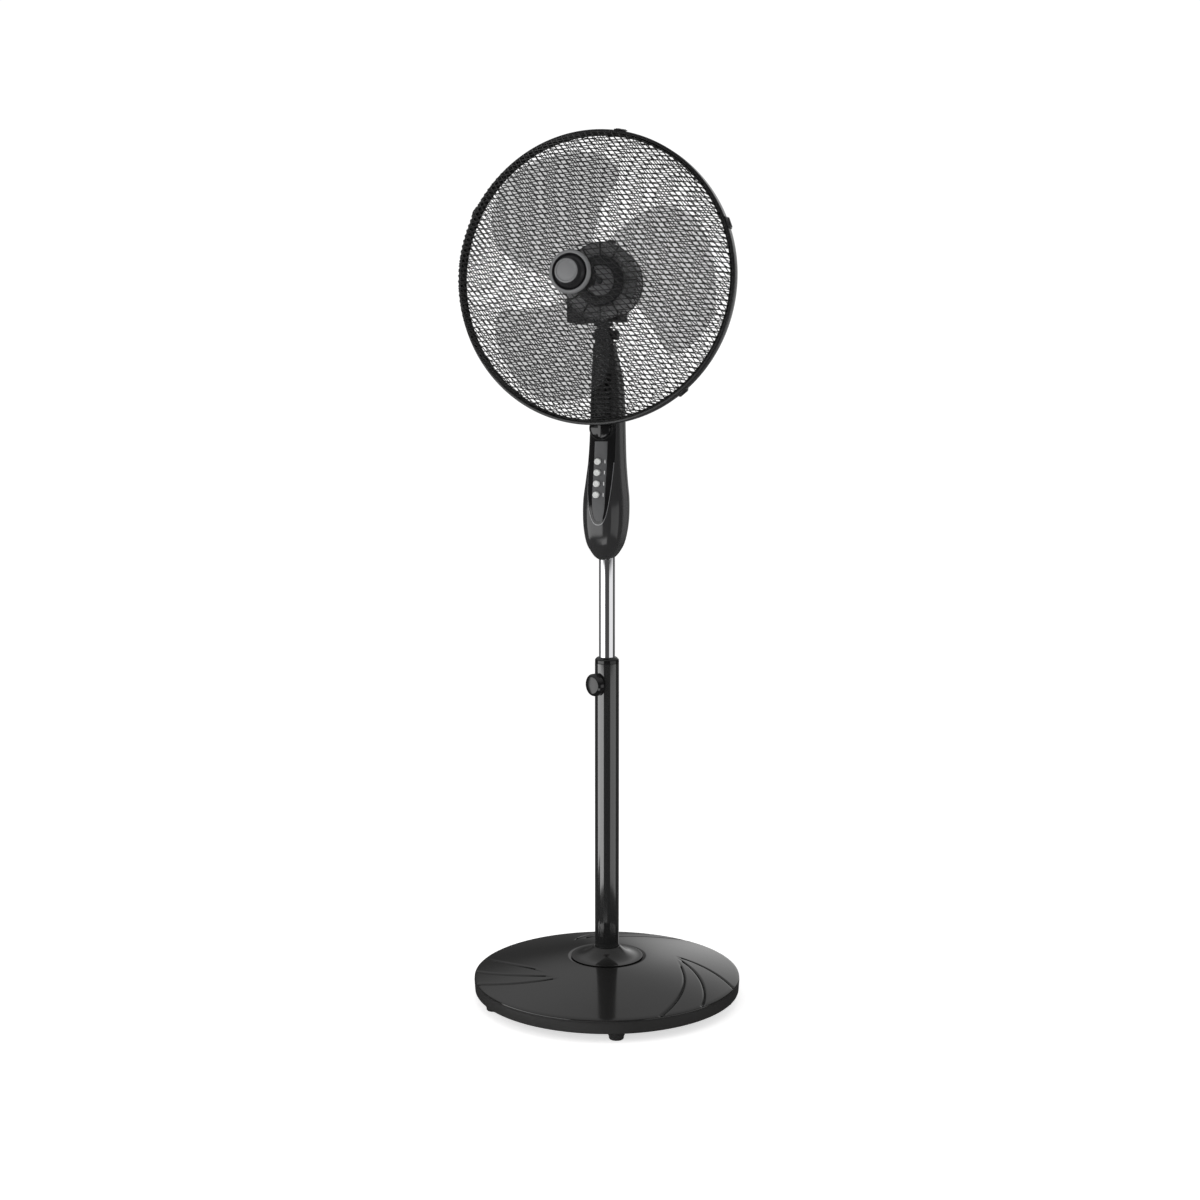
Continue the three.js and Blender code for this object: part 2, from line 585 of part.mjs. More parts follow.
// Front bell with the collar that carries the rear guard.
addPiece(axial, 'motor_front', latheRing([
  [5, MOTOR_FRONT], [5, MOTOR_FRONT + 8], [23, MOTOR_FRONT + 8], [23, MOTOR_FRONT],
  [MOTOR_RADIUS - 4, MOTOR_FRONT], [MOTOR_RADIUS, MOTOR_FRONT - 4], [MOTOR_RADIUS, MOTOR_SEAM + GAP],
  [MOTOR_RADIUS - 2.5, MOTOR_SEAM + GAP], [MOTOR_RADIUS - 2.5, MOTOR_FRONT - 4.5],
  [MOTOR_RADIUS - 5, MOTOR_FRONT - 3], [5, MOTOR_FRONT - 3],
], MOTOR_SEGMENTS), blackPlastic);

const knobHole = barZ(4, [10, 70], 0, 18, 16).rotate([-90, 0, 0]);
addPiece(axial, 'motor_cover', cut(latheRing([
  [MOTOR_RADIUS - 2.5, MOTOR_SEAM], [MOTOR_RADIUS, MOTOR_SEAM], [MOTOR_RADIUS, -10], [46, -28],
  [36.5, -42], [23.5, -52.5], [8, -53.5], [8, -51], [22.5, -50], [34.5, -40], [43.5, -27],
  [MOTOR_RADIUS - 2.5, -10],
], MOTOR_SEGMENTS), knobHole), blackPlastic);
addPiece(axial, 'stator', pipe(46, 21, -14, 12, 24), steel);

// Cradle under the motor: a saddle on the oscillation pin, with a tall square cheek
// on the left and a low one on the right.
const CRADLE_BOTTOM = 1061 - HEAD_Z;
const cradleDepth = [-27, 22];
const leftCheek = [-56, -22];
const rightCheek = [8, 26];
addPiece(head, 'head_bracket', cut(
  joined(
    barY(MOTOR_RADIUS + 3.5, cradleDepth, 0, 0, MOTOR_SEGMENTS).intersect(
      block([-24, 24], cradleDepth, [-70, -44])),
    block(leftCheek, cradleDepth, [CRADLE_BOTTOM, -20]),
    block(rightCheek, cradleDepth, [CRADLE_BOTTOM, -40]),
    barZ(9.5, [CRADLE_BOTTOM + 0.5, -50], 0, PIVOT_Y, 16),
  ), motorEnvelope, barZ(4.8, [-80, -40], 0, PIVOT_Y)), blackPlastic);

// Gearbox behind the cradle.
addPiece(head, 'gearbox', cut(
  block([-27, 6], [CRANK_Y - 13, CRANK_Y + 12], [CRADLE_BOTTOM + 3.3, -34]), motorEnvelope), blackPlastic);

addPiece(head, 'crank_disc', joined(
  barZ(9.5, [1061.5 - HEAD_Z, 1064 - HEAD_Z], -ROCKER_ARM, CRANK_Y, 20),
  barZ(1.6, [LINK_Z - HEAD_Z, 1062 - HEAD_Z], -ROCKER_ARM - CRANK_ARM, CRANK_Y, 12)), steel);

// Pull knob on top that stops the oscillation.
addPiece(head, 'osc_knob', joined(
  barZ(3, [38, 56], 0, 18, 16), barZ(6, [53.8, 62], 0, 18, 20), barZ(8, [60, 65], 0, 18, 20)), blackGloss);

// ------------------------------------------------------------------ head: rotor

const rotor = new THREE.Group();
axial.add(rotor);
addPiece(rotor, 'rotor_shaft', lathe([
  [0, -22], [SHAFT_RADIUS, -22], [SHAFT_RADIUS, -15], [20, -15], [20, 13], [SHAFT_RADIUS, 13],
  [SHAFT_RADIUS, HUB_FRONT + 8], [0, HUB_FRONT + 8],
], 20), steel);

// One blade: a curved petal from the hub to a rounded tip, twisted front to back.
function blade(angleDegrees) {
  const [radialSteps, chordSteps] = [6, 5];
  const [depth, camber, middle, thickness] = [20, 5, 78, 2];
  const [root, shoulder] = [HUB_RADIUS - 1.6, 142];
  const rows = [];
  for (let i = 0; i <= radialSteps; i += 1) {
    const share = Math.sin(0.5 * Math.PI * i / radialSteps);
    const radius = THREE.MathUtils.lerp(root, BLADE_TIP_RADIUS, share);
    const past = Math.max(radius - shoulder, 0) / (BLADE_TIP_RADIUS + 2 - shoulder);
    const halfSpan = radians(BLADE_HALF_SPAN * Math.sqrt(1 - past ** 2));
    const sweep = radians(angleDegrees + BLADE_SWEEP * (1 - Math.min(1, share * 1.25)));
    for (let j = 0; j <= chordSteps; j += 1) {
      const across = 2 * j / chordSteps - 1;
      const angle = sweep + halfSpan * across;
      const forward = middle + depth * across * (0.75 + 0.25 * share) + camber * (1 - across * across);
      rows.push(new THREE.Vector3(radius * Math.cos(angle), radius * Math.sin(angle), forward));
    }
  }
  const width = chordSteps + 1;
  const sheet = rows.length;
  const points = [...rows, ...rows.map((p) => new THREE.Vector3(p.x, p.y, p.z - thickness))];
  const triangles = [];
  for (let i = 0; i < radialSteps; i += 1) {
    for (let j = 0; j < chordSteps; j += 1) {
      const a = i * width + j;
      const [b, c, d] = [a + width, a + width + 1, a + 1];
      triangles.push(a, b, c, a, c, d);
      triangles.push(sheet + a, sheet + c, sheet + b, sheet + a, sheet + d, sheet + c);
    }
  }
  const wall = (a, b) => triangles.push(a, sheet + a, sheet + b, a, sheet + b, b);
  for (let i = 0; i < radialSteps; i += 1) {
    wall(i * width, (i + 1) * width);
    wall((i + 1) * width + chordSteps, i * width + chordSteps);
  }
  for (let j = 0; j < chordSteps; j += 1) {
    wall(j + 1, j);
    wall(radialSteps * width + j, radialSteps * width + j + 1);
  }
  const geometry = new THREE.BufferGeometry().setFromPoints(points);
  geometry.setIndex(triangles);
  return solidFrom(geometry);
}

function fanBlades() {
  const hub = latheRing([
    [HUB_RADIUS, HUB_BACK], [HUB_RADIUS, HUB_FRONT - 8], [HUB_RADIUS - 3, HUB_FRONT - 3],
    [HUB_RADIUS - 9, HUB_FRONT - 0.8], [30, HUB_FRONT], [SHAFT_RADIUS + GAP, HUB_FRONT],
    [SHAFT_RADIUS + GAP, HUB_BACK + 8], [10, HUB_BACK + 8], [10, HUB_FRONT - 2.6],
    [HUB_RADIUS - 10, HUB_FRONT - 3.4], [HUB_RADIUS - 2.6, HUB_FRONT - 10], [HUB_RADIUS - 2.6, HUB_BACK],
  ], MOTOR_SEGMENTS);
  const blades = Array.from({ length: BLADE_COUNT },
    (_, i) => blade(BLADE_FIRST_ANGLE + i * 360 / BLADE_COUNT));
  return joined(hub, ...blades);
}
addPiece(rotor, 'fan_blades', fanBlades(), smokyBlade);

addPiece(rotor, 'spinner', cut(lathe([
  [0, HUB_FRONT + GAP], [17, HUB_FRONT + GAP], [17, HUB_FRONT + 7], [14, HUB_FRONT + 11],
  [7, HUB_FRONT + 13.5], [0, HUB_FRONT + 14],
], 20), barZ(SHAFT_RADIUS + GAP, [HUB_FRONT - 2, HUB_FRONT + 9], 0, 0, 20)), blackPlastic);

// ----------------------------------------------------------------- head: guards

const SPOKE_COUNT = 8;
const WIRE = 2.4;

// A bent bar of square section that follows [radius, forward] points at one angle.
function spoke(points, angleDegrees, steps) {
  const angle = radians(angleDegrees);
  const path = new THREE.CatmullRomCurve3(points.map(([radius, forward]) => new THREE.Vector3(
    radius * Math.cos(angle), radius * Math.sin(angle), forward)));
  const section = new THREE.Shape([
    new THREE.Vector2(-WIRE / 2, -WIRE / 2), new THREE.Vector2(WIRE / 2, -WIRE / 2),
    new THREE.Vector2(WIRE / 2, WIRE / 2), new THREE.Vector2(-WIRE / 2, WIRE / 2),
  ]);
  return solidFrom(new THREE.ExtrudeGeometry(section, { steps, bevelEnabled: false, extrudePath: path }));
}

function hoop([radius, forward], segments = 12) {
  const half = WIRE / 2 + 0.1;
  return pipe(radius + half, radius - half, forward - half, forward + half, segments);
}

function guard(points, hoops, rimSpan, hubPlate, steps) {
  const spokes = Array.from({ length: SPOKE_COUNT },
    (_, i) => spoke(points, (i + 0.5) * 360 / SPOKE_COUNT, steps));
  const rim = pipe(213.8, 208.6, ...rimSpan, RING_SEGMENTS);
  return joined(rim, hubPlate, ...hoops.map((at) => hoop(at)), ...spokes);
}

const rearPoints = [[50, 32.2], [64, 34.5], [82, 38.5], [130, 43], [180, 48.5], [211, 55]];
addPiece(axial, 'rear_guard', guard(
  rearPoints, [[130, 43]], [RING_BACK + 3, RING_BACK + 8],
  pipe(58, 23.6, MOTOR_FRONT + GAP, MOTOR_FRONT + 3.5, MOTOR_SEGMENTS), 5), guardBlack);
addPiece(axial, 'guard_nut', pipe(38, 23.6, MOTOR_FRONT + 4, MOTOR_FRONT + 11, 20), blackPlastic);

const frontPoints = [
  [34, 164.6], [80, 161], [125, 152], [165, 139], [195, 122], [208.8, 102], [210.4, 86], [208.8, 65]];
addPiece(axial, 'front_guard', guard(
  frontPoints, [[110, 155.6], [180, 131.5]], [RING_FRONT - 8, RING_FRONT - 3],
  pipe(38, 28, BADGE_BACK - 4, BADGE_BACK - GAP, MOTOR_SEGMENTS), 8), guardBlack);

// Channel-shaped ring that closes over both rims.
addPiece(axial, 'guard_ring', latheRing([
  [RING_RADIUS, RING_BACK], [RING_RADIUS, RING_FRONT], [212, RING_FRONT], [212, RING_FRONT - 1.5],
  [RING_RADIUS - 2.2, RING_FRONT - 1.5], [RING_RADIUS - 2.2, RING_BACK + 1.5], [212, RING_BACK + 1.5],
  [212, RING_BACK],
], RING_SEGMENTS), guardBlack);

// Snap clips over the ring.
CLIP_ANGLES.forEach((degrees, i) => {
  const clip = addPiece(axial, `ring_clip_${i + 1}`, block(
    [RING_RADIUS + GAP, RING_RADIUS + 4], [-9, 9], [RING_BACK - 1, RING_FRONT + 1]), blackPlastic);
  clip.rotation.z = radians(degrees);
});

// Centre badge: a dished ring with a raised disc in it.
addPiece(axial, 'badge_ring', lathe([
  [0, BADGE_BACK], [BADGE_RADIUS, BADGE_BACK], [BADGE_RADIUS, BADGE_BACK + 5],
  [BADGE_RADIUS - 2, BADGE_BACK + 7], [BADGE_RADIUS - 5, BADGE_BACK + 7], [25, BADGE_BACK + 3],
  [0, BADGE_BACK + 3],
], MOTOR_SEGMENTS), badgeGrey);
addPiece(axial, 'badge_disc', lathe([
  [0, BADGE_BACK + 3 + GAP], [20, BADGE_BACK + 3 + GAP], [19.5, BADGE_BACK + 18],
  [17.5, BADGE_BACK + 20.5], [0, BADGE_BACK + 21.5],
], 24), badgeGrey);

// --------------------------------------------------------------------- assembly

const pedestalFan = new THREE.Group();
pedestalFan.name = 'pedestal_fan';
pedestalFan.add(stand, lockKnob, mast, tilt, head);

export default pedestalFan;
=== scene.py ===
"""Pedestal fan: the looks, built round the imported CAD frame.

Lengths are millimetres and become metres when a mesh is made; camera and lights are in metres.
The fan blows towards -Y, and its axis is horizontal at the height HEAD_Z.
"""

import json
from math import atan2, copysign, cos, exp, hypot, pi, radians, sin, sqrt, tan, tau

import bpy
import bmesh
from mathutils import Matrix, Vector


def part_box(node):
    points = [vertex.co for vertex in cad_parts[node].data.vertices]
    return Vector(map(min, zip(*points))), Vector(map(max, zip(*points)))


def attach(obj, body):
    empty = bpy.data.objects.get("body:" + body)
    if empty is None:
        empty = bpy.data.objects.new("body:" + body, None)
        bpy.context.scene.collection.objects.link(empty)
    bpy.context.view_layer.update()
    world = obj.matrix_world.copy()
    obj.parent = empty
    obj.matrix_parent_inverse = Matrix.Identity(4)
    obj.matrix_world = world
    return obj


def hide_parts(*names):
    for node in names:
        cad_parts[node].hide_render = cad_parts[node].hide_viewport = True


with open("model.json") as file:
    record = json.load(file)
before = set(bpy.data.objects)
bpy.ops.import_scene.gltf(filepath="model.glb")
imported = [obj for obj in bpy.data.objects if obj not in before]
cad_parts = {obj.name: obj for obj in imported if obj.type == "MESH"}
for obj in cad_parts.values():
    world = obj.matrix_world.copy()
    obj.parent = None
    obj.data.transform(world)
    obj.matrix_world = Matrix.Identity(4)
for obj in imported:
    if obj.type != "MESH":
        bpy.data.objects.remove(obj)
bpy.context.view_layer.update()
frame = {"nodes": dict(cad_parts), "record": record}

MM = 0.001
record = frame["record"]
body_of_node = {
    node: body for body, nodes in record["behaviour"]["bodies"].items() for node in nodes}
slot_of_node = {row["node"]: row["material_slot"] for row in record["subparts"]}


# ---------- sizes from the frame

def low(node):
    """Lowest corner of a CAD node, in millimetres."""
    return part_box(node)[0] / MM


def high(node):
    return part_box(node)[1] / MM


def centre_of(node):
    return (low(node) + high(node)) / 2


BASE_RADIUS = high("base_cover").x
SKIRT_BOTTOM = low("base_cover").z
DOME_TOP = high("base_cover").z
RIM_CREASE = SKIRT_BOTTOM + 20.7
FLANGE_RADIUS = high("base_collar").x + 1
TUBE_RADIUS = 19.0
INNER_RADIUS = 12.5
TUBE_TOP = high("outer_tube").z
BUSH_TOP = high("top_bush").z
HOUSING_BOTTOM = low("housing_front").z
HEAD_Z = centre_of("guard_ring").z
RING_RADIUS = high("guard_ring").x
RING_BACK = -high("guard_ring").y
RING_FRONT = -low("guard_ring").y
BADGE_RADIUS = high("badge_ring").x * 0.92
BADGE_BACK = -high("badge_ring").y
BADGE_FRONT = -low("badge_disc").y
TIMER_Z = centre_of("timer_knob").z
TILT_Z = centre_of("tilt_knob").z
PIVOT_Y = centre_of("tilt_knob").y
SEAM_Y = (high("housing_front").y + low("housing_back").y) / 2


# ---------- camera and light

CAMERA_AZIMUTH = radians(18.4)   # from -Y towards +X
CAMERA_DISTANCE = 2.447
CAMERA_SIDESTEP = 0.011
CAMERA_HEIGHT = 0.882
CAMERA_PITCH = radians(5.81)
LENS = 47.33


def make_camera():
    data = bpy.data.cameras.new("camera")
    data.lens = LENS
    data.sensor_width = 36
    data.clip_end = 60
    camera = bpy.data.objects.new("camera", data)
    outward = Vector((sin(CAMERA_AZIMUTH), -cos(CAMERA_AZIMUTH), 0))
    right = Vector((cos(CAMERA_AZIMUTH), sin(CAMERA_AZIMUTH), 0))
    camera.location = outward * CAMERA_DISTANCE - right * CAMERA_SIDESTEP + Vector((0, 0, CAMERA_HEIGHT))
    camera.rotation_euler = (pi / 2 - CAMERA_PITCH, 0, CAMERA_AZIMUTH)
    bpy.context.scene.collection.objects.link(camera)
    bpy.context.scene.camera = camera


def soft_box(name, azimuth, distance, width, height, centre_z, radiance, target_z=None):
    """A tall rectangular light that faces the column."""
    data = bpy.data.lights.new(name, "AREA")
    data.shape = "RECTANGLE"
    data.size = width
    data.size_y = height
    data.energy = radiance * pi * width * height
    light = bpy.data.objects.new(name, data)
    angle = radians(azimuth)
    place = Vector((sin(angle) * distance, -cos(angle) * distance, centre_z))
    aim = Vector((0, 0, centre_z if target_z is None else target_z)) - place
    light.location = place
    light.rotation_euler = aim.to_track_quat("-Z", "Y").to_euler()
    light.visible_camera = False
    light.visible_glossy = False
    bpy.context.scene.collection.objects.link(light)


def make_lights():
    soft_box("key", azimuth=-36, distance=2.2, width=2.7, height=2.2, centre_z=1.3, radiance=1.4)
    soft_box("fill", azimuth=73, distance=2.2, width=2.6, height=2.2, centre_z=1.3, radiance=0.45)
    soft_box("top", azimuth=0, distance=0.01, width=1.6, height=1.6, centre_z=3.2, radiance=1.3,
             target_z=0)


# The two tall soft boxes as reflections see them: middle and half width in degrees
# from -Y towards +X, and brightness.
MIRRORED_BOXES = [(-46.0, 33.0, 2.6), (80.0, 31.0, 0.85)]
BOX_TOP = 0.06          # sines of the elevations that the boxes reach
BOX_BOTTOM = -0.352
BOX_EDGE = 2.5          # softness of their edges, in degrees
# A low bright card in front of the fan: middle and half width in degrees, brightness.
LOW_CARD = (1.0, 21.0, 2.2)
CARD_TOP = -0.40
CARD_BOTTOM = -0.68
# The white sweep behind the fan, also as reflections see it.
SWEEP_MIDDLE = 180.0
SWEEP_HALF = 15.0
SWEEP_EDGE = 6.0
SWEEP_BRIGHTNESS = 0.8
CEILING_BRIGHTNESS = 0.42
CORNER_BRIGHTNESS = 0.12    # more of it up on the left
DARK_STUDIO = 0.07


def add_node(tree, kind, inputs=None, **settings):
    """A shader node. Each input is a value, or the socket that feeds it."""
    node = tree.nodes.new("ShaderNode" + kind)
    for key, value in settings.items():
        setattr(node, key, value)
    for socket, value in (inputs or {}).items():
        if isinstance(value, bpy.types.NodeSocket):
            tree.links.new(value, node.inputs[socket])
        else:
            node.inputs[socket].default_value = value
    return node


def mirrored_light(tree):
    """Brightness of the studio in reflections: two soft boxes, a low card, a ceiling and the sweep."""

    def calculate(operation, *values):
        return add_node(tree, "Math", dict(enumerate(values)), operation=operation).outputs[0]

    def product(first, *others):
        for other in others:
            first = calculate("MULTIPLY", first, other)
        return first

    def step(value, start, end, before=0.0, after=1.0):
        inputs = {"Value": value, "From Min": start, "From Max": end, "To Min": before, "To Max": after}
        return add_node(tree, "MapRange", inputs, interpolation_type="SMOOTHSTEP").outputs[0]

    def near(angle, middle, half_width, edge=BOX_EDGE):
        """1 within the half width of the middle, else 0."""
        off = calculate("ABSOLUTE", calculate("SUBTRACT", angle, radians(middle)))
        return step(off, radians(half_width - edge), radians(half_width + edge), 1.0, 0.0)

    place = add_node(tree, "TexCoord").outputs["Generated"]
    x, y, z = add_node(tree, "SeparateXYZ", {0: place}).outputs
    azimuth = calculate("ARCTAN2", x, product(y, -1.0))

    def between(from_zero, to_one, from_one, to_zero):
        """1 between two heights, else 0."""
        return product(step(z, from_zero, to_one), step(z, from_one, to_zero, 1.0, 0.0))

    boxes_high = between(BOX_BOTTOM, BOX_BOTTOM + 0.012, BOX_TOP - 0.05, BOX_TOP)
    card_high = between(CARD_BOTTOM, CARD_BOTTOM + 0.05, CARD_TOP - 0.04, CARD_TOP)
    sweep_high = between(-0.25, 0.0, 0.2, 0.65)
    behind = near(calculate("ABSOLUTE", azimuth), SWEEP_MIDDLE, SWEEP_HALF, SWEEP_EDGE)
    glows = [product(step(z, 0.2, 0.7), CEILING_BRIGHTNESS),
             product(step(x, 0.5, -0.5), step(z, 0.1, 0.5), CORNER_BRIGHTNESS),
             product(near(azimuth, *LOW_CARD[:2]), card_high, LOW_CARD[2]),
             product(behind, sweep_high, SWEEP_BRIGHTNESS)]
    for middle, half_width, brightness in MIRRORED_BOXES:
        glows.append(product(near(azimuth, middle, half_width), boxes_high, brightness))
    total = DARK_STUDIO
    for glow in glows:
        total = calculate("ADD", total, glow)
    return total


def make_world():
    """White to the eye, soft for shading, and two soft boxes in a dark studio for reflections."""
    world = bpy.data.worlds.new("studio")
    bpy.context.scene.world = world
    world.use_nodes = True
    tree = world.node_tree
    tree.nodes.clear()
    path = add_node(tree, "LightPath").outputs
    soft, mirrored, seen = [
        add_node(tree, "Background", {"Color": (1, 1, 1, 1), "Strength": strength}).outputs[0]
        for strength in (0.5, mirrored_light(tree), 1.05)]
    glossy = add_node(tree, "MixShader", {0: path["Is Glossy Ray"], 1: soft, 2: mirrored}).outputs[0]
    direct = add_node(tree, "MixShader", {0: path["Is Camera Ray"], 1: glossy, 2: seen}).outputs[0]
    add_node(tree, "OutputWorld", {"Surface": direct})
    bpy.context.scene.view_settings.view_transform = "Standard"


# ---------- materials

def surface(name, color, roughness, metallic=0.0, coat=0.0, variation=0.08, grain=300.0,
            bump=0.0, bump_scale=1200.0, alpha=1.0, stretch=(1, 1, 1), rough_spread=0.05, shine=0.5):
    """A Principled material whose colour, roughness and relief vary with noise."""
    material = bpy.data.materials.new(name)
    material.use_nodes = True
    tree = material.node_tree
    shader = tree.nodes["Principled BSDF"]
    for socket, value in (("Metallic", metallic), ("Coat Weight", coat), ("Coat Roughness", 0.04),
                          ("Alpha", alpha), ("Specular IOR Level", shine)):
        shader.inputs[socket].default_value = value
    place = add_node(tree, "TexCoord").outputs["Object"]
    scaled = add_node(tree, "Mapping", {"Vector": place, "Scale": stretch}).outputs["Vector"]

    def noise(size, detail):
        return add_node(tree, "TexNoise", {"Vector": scaled, "Scale": size, "Detail": detail}).outputs["Fac"]

    ramp = add_node(tree, "ValToRGB", {"Fac": noise(grain / 12, 3)})
    for stop, position, factor in zip(ramp.color_ramp.elements, (0.3, 0.7), (1 - variation, 1 + variation)):
        stop.position = position
        stop.color = [min(1, c * factor) for c in color] + [1]
    tree.links.new(ramp.outputs["Color"], shader.inputs["Base Color"])
    spread = add_node(tree, "MapRange", {
        "Value": noise(grain / 4, 4), "To Min": max(0.0, roughness - rough_spread),
        "To Max": roughness + rough_spread})
    tree.links.new(spread.outputs["Result"], shader.inputs["Roughness"])
    if bump:
        height = noise(bump_scale, 2)
        relief = add_node(tree, "Bump", {"Height": height, "Strength": bump, "Distance": 0.0004})
        tree.links.new(relief.outputs["Normal"], shader.inputs["Normal"])
    return material


finishes = {}


def finish(name, *values, **more):
    finishes[name] = surface(name, *values, **more)


finish("base_gloss", (0.012, 0.0117, 0.0114), 0.1, variation=0.05, bump=0.01, bump_scale=260,
       rough_spread=0.03)
finish("tube_paint", (0.012, 0.0122, 0.0124), 0.09, coat=0.7, variation=0.05, bump=0.006, bump_scale=420,
       rough_spread=0.02, shine=0.9)
finish("black_gloss", (0.005, 0.005, 0.0052), 0.1, variation=0.1, bump=0.01)
finish("housing_gloss", (0.022, 0.022, 0.0225), 0.13, variation=0.05, bump=0.008, bump_scale=320,
       rough_spread=0.03)
finish("strip_grey", (0.068, 0.069, 0.071), 0.45, variation=0.05, bump=0.12, bump_scale=2600)
finish("button_grey", (0.50, 0.51, 0.50), 0.36, variation=0.04, bump=0.08, bump_scale=2200)
finish("chrome", (0.82, 0.82, 0.84), 0.05, metallic=1.0, variation=0.02, grain=900, stretch=(1, 1, 0.02),
       rough_spread=0.02)
finish("steel", (0.42, 0.43, 0.45), 0.32, metallic=1.0, variation=0.08, bump=0.05, stretch=(1, 1, 0.2))
finish("cast_iron", (0.07, 0.07, 0.07), 0.7, metallic=0.6, variation=0.2, bump=0.6, bump_scale=500)
finish("black_plastic", (0.013, 0.013, 0.014), 0.42, variation=0.1, bump=0.12, bump_scale=1500)
finish("rubber", (0.010, 0.010, 0.010), 0.8, variation=0.2, bump=0.3, bump_scale=900)
finish("guard_black", (0.006, 0.006, 0.006), 0.38, variation=0.1, bump=0.05, bump_scale=1800)
finish("ring_black", (0.010, 0.010, 0.0105), 0.24, variation=0.08, bump=0.04, bump_scale=900)
finish("smoky_blade", (0.06, 0.061, 0.063), 0.16, variation=0.03, bump=0.02, bump_scale=200, alpha=0.27)
finish("badge_grey", (0.15, 0.152, 0.155), 0.36, metallic=0.2, variation=0.04, bump=0.05, bump_scale=2400)
hub_smoke = surface("hub_smoke", (0.03, 0.031, 0.033), 0.2, variation=0.05, alpha=0.15)
# lighter grey than the motor's black plastic: painted light, so that the motor bell reads lit through the smoky
# hub
motor_painted_light = surface("motor_painted_light", (0.22, 0.22, 0.225), 0.5, metallic=0.2, variation=0.06, bump=0.1,
                     bump_scale=1500)
skirt_satin = surface("skirt_satin", (0.016, 0.0157, 0.0154), 0.5, variation=0.06, bump=0.04,
                      bump_scale=900, shine=0.3)
plate_grey = surface("plate_grey", (0.17, 0.171, 0.174), 0.5, variation=0.06, bump=0.05, bump_scale=1200)
rim_light = surface("rim_light", (0.20, 0.20, 0.205), 0.3, metallic=0.5, variation=0.05, bump=0.03)
index_light = surface("index_light", (0.55, 0.55, 0.55), 0.4, variation=0.03, bump=0.03)


# ---------- mesh helpers
# A shape is (points, faces), in millimetres; a piece is made of one or more shapes.

def rounded(outline, radius, steps=4, closed=False):
    """The outline with its corners turned into short curves."""
    points = [Vector(p) for p in outline]
    count = len(points)
    result = []
    for i, corner in enumerate(points):
        if not closed and i in (0, count - 1):
            result.append(corner)
            continue
        back = points[i - 1] - corner
        ahead = points[(i + 1) % count] - corner
        turn = pi - back.angle(ahead, pi)
        reach = min(radius * tan(turn / 2), back.length * 0.45, ahead.length * 0.45)
        if reach < 1e-3:
            result.append(corner)
            continue
        start = corner + back.normalized() * reach
        end = corner + ahead.normalized() * reach
        for k in range(steps + 1):
            t = k / steps
            result.append(start * (1 - t) ** 2 + corner * 2 * t * (1 - t) + end * t * t)
    return [tuple(p) for p in result]


def lathe(profile, segments=96, closed=False):
    """Revolves (radius, height) points about +Z. Radius 0 gives a single point."""
    points, rows, faces = [], [], []
    for radius, height in profile:
        if radius < 1e-6:
            rows.append([len(points)] * segments)
            points.append(Vector((0, 0, height)))
            continue
        rows.append(list(range(len(points), len(points) + segments)))
        for k in range(segments):
            angle = tau * k / segments
            points.append(Vector((radius * cos(angle), radius * sin(angle), height)))
    pairs = list(zip(rows, rows[1:])) + ([(rows[-1], rows[0])] if closed else [])
    for lower, upper in pairs:
        for k in range(segments):
            face = [lower[k], lower[(k + 1) % segments], upper[(k + 1) % segments], upper[k]]
            face = [v for i, v in enumerate(face) if v != face[i - 1]]
            if len(face) > 2:
                faces.append(face)
    return points, faces


def turned(outline, softness, steps, segments, closed=False):
    return lathe(rounded(outline, softness, steps, closed), segments, closed)


def pipe(outer, inner, bottom, top, edge=0.4, segments=96):
    outline = [(inner, bottom), (outer, bottom), (outer, top), (inner, top)]
    return turned(outline, edge, 3, segments, closed=True)


def rod(radius, bottom, top, edge=0.4, segments=64):
    outline = [(0, bottom), (radius, bottom), (radius, top), (0, top)]
    return turned(outline, edge, 3, segments)


def loft(rings, capped=True):
    """A closed skin through rings that have the same number of points."""
    count = len(rings[0])
    points = [Vector(p) for ring in rings for p in ring]
    faces = []
    for row in range(len(rings) - 1):
        for k in range(count):
            a, b = row * count + k, row * count + (k + 1) % count
            faces.append([a, b, b + count, a + count])
    if capped:
        faces.append(list(range(count))[::-1])
        faces.append(list(range((len(rings) - 1) * count, len(rings) * count)))
    return points, faces


def prism(outline, y0, y1):
    """A flat (x, z) outline pushed through along Y."""
    rings = [[(x, y, z) for x, z in outline] for y in (y0, y1)]
    return loft(rings)


def box_shape(low_corner, high_corner):
    (x0, y0, z0), (x1, y1, z1) = low_corner, high_corner
    return prism([(x0, z0), (x1, z0), (x1, z1), (x0, z1)], y0, y1)


def moved(shape, matrix):
    points, faces = shape
    return [matrix @ Vector(p) for p in points], faces


def wire(path, radius, sides=6):
    """A round wire along a path, with its ends closed."""
    path = [Vector(p) for p in path]
    ahead = [(path[min(i + 1, len(path) - 1)] - path[max(i - 1, 0)]).normalized()
             for i in range(len(path))]
    normal = ahead[0].orthogonal().normalized()
    rings = []
    for point, direction in zip(path, ahead):
        normal = (normal - direction * normal.dot(direction)).normalized()
        side = direction.cross(normal)
        rings.append([
            point + (normal * cos(tau * k / sides) + side * sin(tau * k / sides)) * radius
            for k in range(sides)])
    return loft(rings)


def rods_around(place, count, radius, thickness, bottom, top, edge, segments=16):
    """Rods along the axis of a placement, evenly round it."""
    shape = moved(rod(thickness, bottom, top, edge, segments), Matrix.Translation((radius, 0, 0)))
    return [moved(shape, place @ Matrix.Rotation(tau * k / count, 4, "Z")) for k in range(count)]


AXIAL = Matrix.Translation((0, 0, HEAD_Z)) @ Matrix.Rotation(pi / 2, 4, "X")


def along_fan(shape, angle=0.0):
    """Places a shape made round +Z on the fan axis; its heights become forward distances."""
    return moved(shape, AXIAL @ Matrix.Rotation(angle, 4, "Z"))


